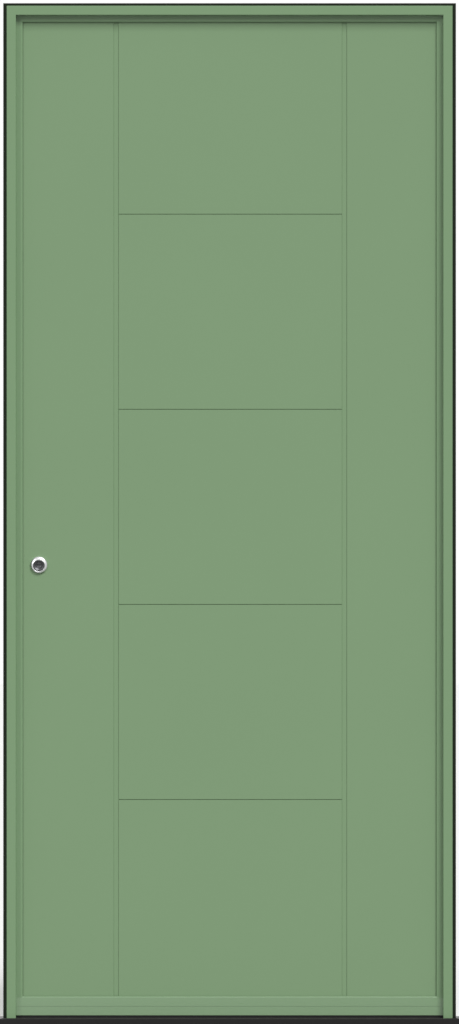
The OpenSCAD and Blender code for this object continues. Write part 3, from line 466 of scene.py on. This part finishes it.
def skinMesh(low, high, outside, pressings, holes):
    s = skinSpec
    sheet, fold, steps, digits = s["sheet"], s["foldRadius"], s["foldSteps"], s["lineDigits"]
    face, back = (low.y, high.y) if outside < 0 else (high.y, low.y)
    inward = -outside
    backs = []  # each pressing's profile on the sheet's back
    xLines, zLines = set(), set()
    for px, pz, halfX, halfZ, profile, depth in pressings:
        backs.append([(0.0, 0.0), (s["backDraft"] * depth, depth)])
        for d in [d for d, y in profile] + [d - sheet for d, y in backs[-1]]:
            xLines.update((round(px - halfX + d, digits), round(px + halfX - d, digits)))
            zLines.update((round(pz - halfZ + d, digits), round(pz + halfZ - d, digits)))
    xMid = sorted(xLines) or [0.0]
    zMid = sorted(zLines) or [(low.z + high.z) / 2]
    work = bmesh.new()

    def insetAt(x, z, px, pz, halfX, halfZ):  # how far in from a pressing's edge
        return min(halfX - abs(x - px), halfZ - abs(z - pz))

    def faceDepth(x, z):
        return max([0.0] + [depthAt(profile, insetAt(x, z, *place)) for *place, profile, depth in pressings])

    def backDepth(x, z):
        found = [depthAt(profile, insetAt(x, z, *pressing[:4]) + sheet)
                 for pressing, profile in zip(pressings, backs)]
        return sheet + max([0.0] + found)

    def grid(margin, depthOf):  # one side of the sheet; gives its rim
        xs = [low.x + margin] + xMid + [high.x - margin]
        zs = [low.z + margin] + zMid + [high.z - margin]
        rows = [[work.verts.new((x, face + inward * depthOf(x, z), z)) for x in xs] for z in zs]
        for one, two in zip(rows, rows[1:]):
            for c in range(len(xs) - 1):
                work.faces.new((one[c], one[c + 1], two[c + 1], two[c]))
        right = [row[-1] for row in rows[:-1]]
        left = [row[0] for row in rows[:0:-1]]
        return rows[0][:-1] + right + rows[-1][:0:-1] + left

    def outward(value, least, most):  # 1 or -1 at the rim, 0 between
        near = 2 * fold
        return (value > most - near) - (value < least + near)

    def nextRing(ring, spread, y):  # the ring moved out by spread, at y
        made = []
        for v in ring:
            x = v.co.x + spread * outward(v.co.x, low.x, high.x)
            z = v.co.z + spread * outward(v.co.z, low.z, high.z)
            made.append(work.verts.new((x, y, z)))
        return made

    rim = grid(fold, faceDepth)
    last = rim
    for k in range(1, steps + 1):
        a = math.pi / 2 * k / steps
        ring = nextRing(rim, fold * math.sin(a), face + inward * fold * (1 - math.cos(a)))
        bridgeRings(work, last, ring)
        last = ring
    edge = nextRing(rim, fold, back)
    bridgeRings(work, last, edge)
    innerRim = grid(sheet, backDepth)
    innerEdge = [work.verts.new((v.co.x, back, v.co.z)) for v in innerRim]
    bridgeRings(work, edge, innerEdge)
    bridgeRings(work, innerEdge, innerRim)
    mesh = finishMesh(work, "skin")
    start, end = face - s["drillReach"], face + s["drillReach"]
    for x, z, radius in holes:
        drill = latheMesh([(0.0, start), (radius, start), (radius, end), (0.0, end)],
                          Vector((x, 0, z)), s["drillSides"])
        mesh = joinMesh(mesh, drill, "DIFFERENCE")
    return mesh


cylinderAt = middleOf("cylinder_collar")
knobAt = middleOf("turn_knob")
outerLow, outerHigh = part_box("outer_skin")
innerLow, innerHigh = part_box("inner_skin")
outerHoles = [(cylinderAt.x, cylinderAt.z, skinSpec["cylinderHole"])]
innerHoles = [(knobAt.x, knobAt.z, skinSpec["knobHole"]), (cylinderAt.x, cylinderAt.z, skinSpec["turnHole"])]
outerMesh = skinMesh(outerLow, outerHigh, -1, pressingsOf(outerLow, outerHigh), outerHoles)
innerMesh = skinMesh(innerLow, innerHigh, 1, [], innerHoles)
newPiece("leafOuterSkin", outerMesh, "leafPaint", "leaf", "leaf_paint", "outer_skin")
newPiece("leafInnerSkin", innerMesh, "leafPaint", "leaf", "leaf_paint", "inner_skin")
print("skins:", len(outerMesh.polygons), "and", len(innerMesh.polygons), "faces")


# wall seal: one mitred strip round the sides and the head, with a bead in front and lips towards the wall

sealSpec = {  # shares of the strip's width, outwards, and of its depth, from the front
    "beadShares": [(0.0, 0.03), (0.12, 0.0), (0.62, 0.0), (0.86, 0.014), (0.98, 0.045), (1.0, 0.08),
                   (1.0, 0.14), (0.55, 0.17)],
    "lipShares": [(0.5, 0.0), (0.94, 0.05), (0.96, 0.07), (0.5, 0.10)],
    "lipStartShares": (0.25, 0.48, 0.72),
    "backShares": [(0.5, 0.97), (0.42, 1.0), (0.0, 1.0)],
}


def wallSealMesh():
    s = sealSpec
    lips = [(out, start + deep) for start in s["lipStartShares"] for out, deep in s["lipShares"]]
    leftLow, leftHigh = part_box("wall_seal_lock_side")
    headLow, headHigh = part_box("wall_seal_head")
    work = bmesh.new()
    rings = []
    for side, top in ((-1, False), (-1, True), (1, True), (1, False)):
        ring = []
        for out, deep in s["beadShares"] + lips + s["backShares"]:
            x = side * (abs(leftHigh.x) + out * (leftHigh.x - leftLow.x))
            y = leftLow.y + deep * (leftHigh.y - leftLow.y)
            z = headLow.z + out * (headHigh.z - headLow.z) if top else leftLow.z
            ring.append(work.verts.new((x, y, z)))
        rings.append(ring)
    loftRings(work, rings)
    return finishMesh(work, "wallSeal")


newPiece("wallSeal", wallSealMesh(), "sealRubber", "frame", "rubber",
         "wall_seal_lock_side", "wall_seal_hinge_side", "wall_seal_head")
print("wall seal made")


# lock seen from outside: domed collar with a dished mouth, cylinder face and plug with its keyway

lockSpec = {
    "domeTilt": (8, 47), "domeRound": 0.0008, "edgeShare": 0.3, "rimShare": 0.71, "mouthShare": 0.59,
    "mouthDrop": 0.0016, "mouthWiden": 0.10, "bore": 0.0123, "lipGap": 0.0003,
    "domeSteps": 16, "dishSteps": 8, "collarSides": 128,
    "faceEdge": 0.0004, "faceDish": 0.0016, "plugGap": 0.00005, "plugDish": 0.0007, "plugSteps": 8,
    "keyWidth": 0.0098, "keyHeight": 0.0022, "keyDepth": 0.011, "cutReach": 0.001,
}


def collarMesh():
    s = lockSpec
    low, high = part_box("cylinder_collar")
    centre = (low + high) / 2
    radius = (high.x - low.x) / 2
    rim, mouth = radius * s["rimShare"], radius * s["mouthShare"]
    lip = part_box("cylinder_body")[0].y - s["lipGap"]
    near, far = (math.radians(a) for a in s["domeTilt"])
    bend = (radius - rim) / (math.sin(far) - math.sin(near))  # radius of the dome's curve
    dome = []
    for k in range(s["domeSteps"] + 1):
        a = far + (near - far) * k / s["domeSteps"]
        dome.append((rim + bend * (math.sin(a) - math.sin(near)),
                     low.y + bend * (math.cos(near) - math.cos(a))))
    side = dome[0][1] + s["domeRound"]
    dome[0] = (radius - s["domeRound"] * s["edgeShare"], dome[0][1])
    profile = [(s["bore"], high.y), (radius, high.y), (radius, side)] + dome
    for k in range(1, s["dishSteps"] + 1):
        a = math.pi / 2 * k / s["dishSteps"]
        profile.append((rim - (rim - mouth) * math.sin(a), low.y + (lip - low.y) * (1 - math.cos(a))))
    profile.append((s["bore"], lip))
    mesh = latheMesh(profile, centre, s["collarSides"])
    for v in mesh.vertices:  # the mouth lies low in the dome and is a little wider than high
        across, up = v.co.x - centre.x, v.co.z - centre.z
        reach = math.hypot(across, up)
        if v.co.y < lip - tiny or reach < s["bore"] - tiny:
            v.co.z -= s["mouthDrop"] * min((radius - reach) / (radius - rim), 1)
            v.co.x += across * s["mouthWiden"] * max((rim - reach) / (rim - mouth), 0)
    return mesh


def cylinderMesh():  # its face falls towards the plug
    s = lockSpec
    low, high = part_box("cylinder_body")
    plugLow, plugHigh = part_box("cylinder_plug")
    radius = (high.x - low.x) / 2
    hole = (plugHigh.x - plugLow.x) / 2 + s["plugGap"]
    edge, floor = s["faceEdge"], low.y + s["faceDish"]
    profile = [(hole, high.y), (radius, high.y), (radius, low.y + edge), (radius - edge, low.y),
               (hole + edge, floor), (hole, floor + edge)]
    return latheMesh(profile, (low + high) / 2)


def plugMesh():  # hollowed face with the keyway cut in
    s = lockSpec
    low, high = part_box("cylinder_plug")
    centre = (low + high) / 2
    radius = (high.x - low.x) / 2
    start, edge = low.y + s["faceDish"], s["faceEdge"]
    profile = [(0.0, high.y), (radius, high.y), (radius, start + edge)]
    for k in range(s["plugSteps"] + 1):
        share = 1 - k / s["plugSteps"]
        profile.append(((radius - edge) * share, start + s["plugDish"] * (1 - share ** 2)))
    half, tall = s["keyWidth"] / 2, s["keyHeight"] / 2
    keyway = blockMesh((centre.x - half, low.y - s["cutReach"], centre.z - tall),
                       (centre.x + half, low.y + s["keyDepth"], centre.z + tall))
    return smoothMesh(joinMesh(latheMesh(profile, centre), keyway, "DIFFERENCE"))


newPiece("cylinderCollar", collarMesh(), "polishedChrome", "leaf", "chrome", "cylinder_collar")
newPiece("cylinderFace", cylinderMesh(), "darkGunmetal", "leaf", "gunmetal", "cylinder_body")
newPiece("cylinderPlug", plugMesh(), "darkGunmetal", "turn", "gunmetal", "cylinder_plug")
print("lock made")


# inside furniture: knob and thumbturn on their roses

roseSpec = {"round": 0.0022, "roundSteps": 8, "step": 0.0012, "stepLift": 1.4, "holeEdge": 0.0012,
            "knobHole": 0.0102, "turnHole": 0.0083}
knobSpec = {"neckRadius": 0.00995, "neckFillet": 0.003, "filletSteps": 6, "headDepth": 0.028,
            "shoulder": 0.0085, "shoulderRise": 0.0015, "shoulderTilt": -40, "shoulderSteps": 5,
            "round": 0.003, "crown": 0.001, "crownTilt": 80, "crownSteps": 8,
            "ringShare": 0.72, "ringDepth": 0.0007, "ringLip": 0.0003,
            "faceShare": 0.62, "dish": 0.0016, "dishSteps": 6}
turnSpec = {"shaftRadius": 0.0078, "shaftRise": 0.002, "shaftTip": 0.004, "wingGap": 0.0003,
            "wingWidth": 0.009, "wingRound": 0.0018, "roundSteps": 6, "waistShare": 0.78, "waistReach": 0.45,
            "wingSquare": 0.42, "wingPoints": 64,
            "footShares": [(0.0, 0.5), (0.3, 0.12), (1.0, 0.0)]}  # rise and inset, of the wing's round


def roseMesh(node, hole):
    s = roseSpec
    low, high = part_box(node)
    radius = (high.x - low.x) / 2
    r, step, edge = s["round"], s["step"], s["holeEdge"]
    profile = [(hole, low.y), (radius, low.y), (radius, low.y + step)]
    profile += [(radius - step / 2, low.y + step * s["stepLift"])]
    profile += arcPoints((radius - step / 2 - r, high.y - r), r, 0, 90, s["roundSteps"])
    profile += [(hole + edge, high.y), (hole, high.y - edge)]
    return latheMesh(profile, (low + high) / 2)


def turnMesh():  # an upright wing with rounded ends on a round shaft
    s = turnSpec
    low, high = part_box("thumbturn")
    centre = (low + high) / 2
    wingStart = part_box("thumbturn_rose")[1].y + s["wingGap"]
    half, tall = s["wingWidth"] / 2, (high.z - low.z) / 2
    waist = half * s["waistShare"]
    r, points = s["wingRound"], s["wingPoints"]
    levels = [(wingStart + r * rise, r * inset) for rise, inset in s["footShares"]]
    levels += [(high.y - r + b, r - a) for a, b in arcPoints((0, 0), r, 0, 90, s["roundSteps"])]
    work = bmesh.new()
    rings = []
    for y, inset in levels:
        ring = []
        for k in range(points):
            a = 2 * math.pi * k / points
            up = math.cos(a) * (tall - inset)
            wide = half - (half - waist) * math.exp(-(up / (tall * s["waistReach"])) ** 2) - inset
            across = abs(math.sin(a)) ** s["wingSquare"] * math.copysign(wide, math.sin(a))
            if k % (points // 2) == 0:  # top and bottom lie on the middle line
                across = 0.0
            ring.append(work.verts.new((centre.x + across, y, centre.z + up)))
        rings.append(ring)
    loftRings(work, rings)
    wing = finishMesh(work, "wing")
    shaft = latheMesh([(0.0, low.y), (s["shaftRadius"], low.y),
                       (s["shaftRadius"], wingStart + s["shaftRise"]),
                       (0.0, wingStart + s["shaftTip"])], centre, points)
    return smoothMesh(joinMesh(shaft, wing, "UNION"))


def knobMesh():
    s = knobSpec
    low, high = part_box("turn_knob")
    radius = (high.x - low.x) / 2
    neck, fillet, start, r = s["neckRadius"], s["neckFillet"], high.y - s["headDepth"], s["round"]
    face, ring, deep = radius * s["faceShare"], radius * s["ringShare"], s["ringDepth"]
    rise = start + s["shoulderRise"]
    profile = [(0.0, low.y), (neck, low.y), (neck, start - fillet)]
    profile += arcPoints((neck + fillet, start - fillet), fillet, 180, 90, s["filletSteps"])
    profile += [(radius - s["shoulder"], rise)]
    profile += arcPoints((radius - r, rise + s["shoulder"]), r, s["shoulderTilt"], 0, s["shoulderSteps"])
    profile += arcPoints((radius - r, high.y - r - s["crown"]), r, 0, s["crownTilt"], s["crownSteps"])
    profile += [(ring + deep, high.y - s["ringLip"]), (ring, high.y - deep), (ring - deep, high.y)]
    for k in range(s["dishSteps"] + 1):
        share = 1 - k / s["dishSteps"]
        profile.append((face * share, high.y - s["dish"] * (1 - share ** 2)))
    return latheMesh(profile, (low + high) / 2)


knobRose = roseMesh("knob_rose", roseSpec["knobHole"])
turnRose = roseMesh("thumbturn_rose", roseSpec["turnHole"])
newPiece("knobRose", knobRose, "satinSteel", "leaf", "steel", "knob_rose")
newPiece("turnRose", turnRose, "satinSteel", "leaf", "steel", "thumbturn_rose")
newPiece("turnPiece", turnMesh(), "satinSteel", "turn", "steel", "thumbturn")
newPiece("insideKnob", knobMesh(), "satinSteel", "knob", "steel", "turn_knob")
print("furniture made")


# screws: one tree sets a recessed head on each point, turned to the way it faces

screwSpec = {"Head Radius": 0.0034, "Head Height": 0.001, "Edge": 0.00025, "Shank Radius": 0.002,
             "Tip Share": 0.55, "Length": 0.016, "Recess Width": 0.0036, "Recess Slot": 0.0009,
             "Recess Depth": 0.0007, "Sides": 32}


def socketId(tree, label):
    return next(item.identifier for item in tree.interface.items_tree if item.item_type == "SOCKET"
                and item.in_out == "INPUT" and item.name == label)


def runTree(tree, mesh, values):  # the tree's result on mesh, as a plain mesh
    holder = bpy.data.objects.new("holder", mesh)
    grow = holder.modifiers.new("grow", "NODES")
    grow.node_group = tree
    for label, value in values.items():
        grow[socketId(tree, label)] = value
    return settleMesh(holder)


def endTree(tree, instances, given, out):
    real = addNode(tree, "GeometryNodeRealizeInstances", {"Geometry": instances})
    done = addNode(tree, "GeometryNodeSetMaterial", {
        "Geometry": real.outputs[0], "Material": given["Finish"]})
    tree.links.new(done.outputs[0], out["Geometry"])
    return tree


def makeScrewTree():
    sizes = [(label, "NodeSocketInt" if label == "Sides" else "NodeSocketFloat", value)
             for label, value in screwSpec.items()]
    tree, given, out = geometryTree("screwSetter", sizes + [("Finish", "NodeSocketMaterial", None)])
    sides, edge, wide, slot = (given[k] for k in ("Sides", "Edge", "Recess Width", "Recess Slot"))

    def lowered(mesh, depth):
        place = addNode(tree, "ShaderNodeCombineXYZ", {"Z": mathNode(tree, "MULTIPLY", depth, -1.0)})
        inputs = {"Geometry": mesh, "Translation": place.outputs[0]}
        return addNode(tree, "GeometryNodeTransform", inputs).outputs[0]

    def cone(bottom, top, length):
        inputs = {"Vertices": sides, "Radius Bottom": bottom, "Radius Top": top, "Depth": length}
        return addNode(tree, "GeometryNodeMeshCone", inputs, fill_type="NGON").outputs["Mesh"]

    flank = mathNode(tree, "SUBTRACT", given["Head Height"], edge)
    flankMiddle = mathNode(tree, "MULTIPLY", mathNode(tree, "ADD", given["Head Height"], edge), 0.5)
    head = addNode(tree, "GeometryNodeMeshCylinder", {
        "Vertices": sides, "Radius": given["Head Radius"], "Depth": flank}, fill_type="NGON").outputs["Mesh"]
    crown = cone(given["Head Radius"], mathNode(tree, "SUBTRACT", given["Head Radius"], edge), edge)
    tip = mathNode(tree, "MULTIPLY", given["Shank Radius"], given["Tip Share"])
    shank = cone(tip, given["Shank Radius"], given["Length"])
    body = addNode(tree, "GeometryNodeMeshBoolean", operation="UNION", solver="EXACT")
    for part in (lowered(shank, given["Length"]), lowered(head, flankMiddle), lowered(crown, edge)):
        tree.links.new(part, body.inputs["Mesh 2"])
    screw = addNode(tree, "GeometryNodeMeshBoolean", {"Mesh 1": body.outputs["Mesh"]},
                    operation="DIFFERENCE", solver="EXACT")
    deep = mathNode(tree, "MULTIPLY", given["Recess Depth"], 2.0)  # half of each arm stands above the head
    for x, y in ((wide, slot), (slot, wide)):
        size = addNode(tree, "ShaderNodeCombineXYZ", {"X": x, "Y": y, "Z": deep})
        arm = addNode(tree, "GeometryNodeMeshCube", {"Size": size.outputs[0]})
        tree.links.new(arm.outputs["Mesh"], screw.inputs["Mesh 2"])
    facing = addNode(tree, "GeometryNodeInputNamedAttribute", {"Name": "facing"}, data_type="FLOAT_VECTOR")
    turn = addNode(tree, "FunctionNodeAlignRotationToVector", {"Vector": facing.outputs[0]}, axis="Z")
    placed = addNode(tree, "GeometryNodeInstanceOnPoints", {
        "Points": given["Geometry"], "Instance": screw.outputs["Mesh"], "Rotation": turn.outputs[0]})
    return endTree(tree, placed.outputs[0], given, out)


def solidBoxes(node):  # low and high corner of each separate solid of a CAD node
    work = bmesh.new()
    work.from_mesh(nodes[node].data)
    bmesh.ops.remove_doubles(work, verts=work.verts, dist=tiny)
    left, found = set(work.verts), []
    while left:
        queue, solid = [left.pop()], []
        while queue:
            v = queue.pop()
            solid.append(v.co.copy())
            for e in v.link_edges:
                w = e.other_vert(v)
                if w in left:
                    left.remove(w)
                    queue.append(w)
        found.append([Vector(pick(c[k] for c in solid) for k in range(3)) for pick in (min, max)])
    work.free()
    return sorted(found, key=lambda box: tuple(box[0]))  # the same order each run


def screwMesh(tree, rows):  # rows of CAD node and the way its heads face
    spots, ways = [], []
    for node, way in rows:
        for low, high in solidBoxes(node):
            middle = (low + high) / 2
            for k in range(3):
                if way[k]:
                    middle[k] = high[k] if way[k] > 0 else low[k]
            spots.append(middle)
            ways.append(way)
    points = bpy.data.meshes.new("screwPoints")
    points.from_pydata(spots, [], [])
    facing = points.attributes.new("facing", "FLOAT_VECTOR", "POINT")
    for k, way in enumerate(ways):
        facing.data[k].vector = way
    return runTree(tree, points, {**screwSpec, "Finish": finishes["satinSteel"]})


screwTree = makeScrewTree()
frameScrews = screwMesh(screwTree, [("strike_screws", (1, 0, 0)), ("hinge_frame_screws", (0, 1, 0))])
leafScrews = screwMesh(screwTree, [("faceplate_screws", (-1, 0, 0)), ("hinge_leaf_screws", (0, 1, 0))])
newPiece("frameScrews", frameScrews, "satinSteel", "frame", "steel", "strike_screws", "hinge_frame_screws")
newPiece("leafScrews", leafScrews, "satinSteel", "leaf", "steel", "faceplate_screws", "hinge_leaf_screws")
print("screws:", len(frameScrews.polygons), "and", len(leafScrews.polygons), "faces")


# parts that keep the CAD shape: fine edges by modifiers, smooth where the surface turns slowly

edgeSpec = {  # width of the edge, by the start of a node's name
    "hinge_": 0.0005, "strike_": 0.0002, "lock_faceplate": 0.0003, "latch_bolt": 0.0005, "deadbolt": 0.0005,
    "upper_bolt": 0.0005, "lower_bolt": 0.0005, "threshold_base": 0.0004, "base_cap": 0.0006,
}
softenSpec = {"flatAngle": 0.2, "edgeAngle": 40, "edgeSegments": 2, "smoothAngle": 32, "flatWeight": 100}
drawnProfiles = ("jamb_lock_side", "jamb_hinge_side", "head", "sill")  # rounded in CAD, so only shaded smooth


def makeSmoothTree():
    tree, given, out = geometryTree("smoothByAngle", [("Angle", "NodeSocketFloat", 0.6)])
    bend = addNode(tree, "GeometryNodeInputMeshEdgeAngle").outputs["Unsigned Angle"]
    slow = addNode(tree, "FunctionNodeCompare", {0: bend, 1: given["Angle"]}, data_type="FLOAT",
                   operation="LESS_THAN").outputs[0]
    faces = addNode(tree, "GeometryNodeSetShadeSmooth", {0: given["Geometry"], "Shade Smooth": True},
                    domain="FACE")
    edges = addNode(tree, "GeometryNodeSetShadeSmooth", {0: faces.outputs[0], "Shade Smooth": slow},
                    domain="EDGE")
    tree.links.new(edges.outputs[0], out["Geometry"])
    return tree


smoothTree = makeSmoothTree()


def softenNode(node, width):
    s = softenSpec
    weld = node.modifiers.new("weld", "WELD")
    weld.merge_threshold = tiny
    if width:
        flat = node.modifiers.new("flat", "DECIMATE")
        flat.decimate_type = "DISSOLVE"
        flat.angle_limit = math.radians(s["flatAngle"])
        edge = node.modifiers.new("edge", "BEVEL")
        edge.width = width
        edge.segments = s["edgeSegments"]
        edge.limit_method = "ANGLE"
        edge.angle_limit = math.radians(s["edgeAngle"])
    smooth = node.modifiers.new("smooth", "NODES")
    smooth.node_group = smoothTree
    smooth[socketId(smoothTree, "Angle")] = math.radians(s["smoothAngle"])
    even = node.modifiers.new("even", "WEIGHTED_NORMAL")  # large flat faces keep their own normal
    even.keep_sharp = True
    even.weight = s["flatWeight"]


for name, node in nodes.items():
    width = next((w for start, w in edgeSpec.items() if name.startswith(start)), None)
    leftAlone = name.endswith("screws") or name == "hinge_stile"
    if name in drawnProfiles or (width and not leftAlone):
        softenNode(node, width)
print("edges softened")


# tread ribs on the threshold's nose

ribSpec = {"count": 4, "spacing": 0.0032, "height": 0.0005, "width": 0.0011, "endGap": 0.006,
           "frontGap": 0.0022}


def makeRibTree():
    tree, given, out = geometryTree("treadRibs", [
        ("Count", "NodeSocketInt", 4), ("Spacing", "NodeSocketFloat", 0.003),
        ("Length", "NodeSocketFloat", 1.0), ("Width", "NodeSocketFloat", 0.001),
        ("Height", "NodeSocketFloat", 0.0005), ("Start", "NodeSocketVector", (0.0, 0.0, 0.0)),
        ("Finish", "NodeSocketMaterial", None)])
    step = addNode(tree, "ShaderNodeCombineXYZ", {"Y": given["Spacing"]})
    row = addNode(tree, "GeometryNodeMeshLine", {
        "Count": given["Count"], "Start Location": given["Start"], "Offset": step.outputs[0]})
    bar = addNode(tree, "GeometryNodeMeshCylinder", {"Vertices": 16, "Radius": 0.5, "Depth": 1.0},
                  fill_type="NGON")
    size = addNode(tree, "ShaderNodeCombineXYZ", {
        "X": mathNode(tree, "MULTIPLY", given["Height"], 2.0), "Y": given["Width"], "Z": given["Length"]})
    shaped = addNode(tree, "GeometryNodeTransform", {
        "Geometry": bar.outputs["Mesh"], "Scale": size.outputs[0]})
    laid = addNode(tree, "GeometryNodeTransform", {
        "Geometry": shaped.outputs[0], "Rotation": (0.0, math.pi / 2, 0.0)})
    ribs = addNode(tree, "GeometryNodeInstanceOnPoints", {
        "Points": row.outputs[0], "Instance": laid.outputs[0]})
    return endTree(tree, ribs.outputs[0], given, out)


def ribMesh():
    s = ribSpec
    low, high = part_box("threshold_base")
    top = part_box("base_cap_lock_side")[1].z
    return runTree(makeRibTree(), bpy.data.meshes.new("ribSeed"), {
        "Count": s["count"], "Spacing": s["spacing"], "Length": high.x - low.x - 2 * s["endGap"],
        "Width": s["width"], "Height": s["height"], "Start": (0.0, low.y + s["frontGap"], top),
        "Finish": finishes["darkAnodised"]})


newPiece("treadRibs", ribMesh(), "darkAnodised", "frame", "dark_aluminium")
print("ribs made")


# stage: pale floor, soft key from above right, weak light from the left, back light for the inside

stageSpec = {"floorHalf": 40.0, "floorColour": (0.82, 0.82, 0.81), "floorShade": 0.985, "fill": 0.30,
             "white": 1.0}
sunSpec = {  # height above level, turn to the right of the front and softness in degrees
    "keySun": {"strength": 2.15, "height": 38, "right": 22.5, "softness": 26},
    "sideSun": {"strength": 0.55, "height": 20, "right": -26, "softness": 12},
    "backSun": {"strength": 1.7, "height": 40, "right": 200, "softness": 30},
}


def makeFloor():
    s = stageSpec
    half = s["floorHalf"]
    mesh = bpy.data.meshes.new("floor")
    corners = [(-half, -half, 0), (half, -half, 0), (half, half, 0), (-half, half, 0)]
    mesh.from_pydata(corners, [], [(0, 1, 2, 3)])
    finish, tree, shader, place = newFinish("floorPaper", Roughness=0.9, Specular_IOR_Level=0.1)
    cloud = noiseNode(tree, place, scale=1.5, detail=2.0)
    pale = s["floorColour"] + (1.0,)
    deeper = tuple(c * s["floorShade"] for c in s["floorColour"]) + (1.0,)
    tree.links.new(mixColour(tree, cloud, deeper, pale), shader.inputs["Base Color"])
    mesh.materials.append(finish)
    floor = bpy.data.objects.new("floor", mesh)
    scene.collection.objects.link(floor)
    floor.visible_diffuse = False  # keeps the light on the leaf even from top to foot


def makeWorld():  # white where it is seen or mirrored, and a weaker fill on the object
    world = bpy.data.worlds.new("studio")
    world.use_nodes = True
    scene.world = world
    tree = world.node_tree
    back = tree.nodes["Background"]
    path = addNode(tree, "ShaderNodeLightPath").outputs
    mirrored = mathNode(tree, "MAXIMUM", path["Is Glossy Ray"], path["Is Transmission Ray"])
    seen = mathNode(tree, "MAXIMUM", path["Is Camera Ray"], mirrored)
    strength = addNode(tree, "ShaderNodeMix", {0: seen, 2: stageSpec["fill"], 3: stageSpec["white"]},
                       data_type="FLOAT")
    back.inputs["Color"].default_value = (1, 1, 1, 1)
    tree.links.new(strength.outputs[0], back.inputs["Strength"])


def makeSun(name, strength, height, right, softness):
    lamp = bpy.data.lights.new(name, "SUN")
    lamp.energy = strength
    lamp.angle = math.radians(softness)
    sun = bpy.data.objects.new(name, lamp)
    scene.collection.objects.link(sun)
    up, turn = math.radians(height), math.radians(right)
    toward = Vector((math.cos(up) * math.sin(turn), -math.cos(up) * math.cos(turn), math.sin(up)))
    sun.rotation_euler = toward.to_track_quat("Z", "Y").to_euler()


makeFloor()
makeWorld()
for name, s in sunSpec.items():
    makeSun(name, **s)
print("stage lit")


# camera: level, far off with a long lens, so that the frame shows as flat as in the photo

cameraSpec = {"distance": 20.0, "fieldHeight": 2.2042, "middleHeight": 1.110, "middleX": -0.0002,
              "facePlane": -0.045, "filmHeight": 36.0, "clipEnd": 200.0}


def makeCamera():
    s = cameraSpec
    lens = bpy.data.cameras.new("frontCamera")
    lens.sensor_width = s["filmHeight"]  # the longer side of the picture, here its height
    lens.lens = s["filmHeight"] * s["distance"] / s["fieldHeight"]
    lens.clip_end = s["clipEnd"]
    camera = bpy.data.objects.new("frontCamera", lens)
    camera.location = (s["middleX"], s["facePlane"] - s["distance"], s["middleHeight"])
    camera.rotation_euler = (math.pi / 2, 0, 0)
    scene.collection.objects.link(camera)
    scene.camera = camera


makeCamera()
scene.view_settings.view_transform = "Standard"
print("camera set")
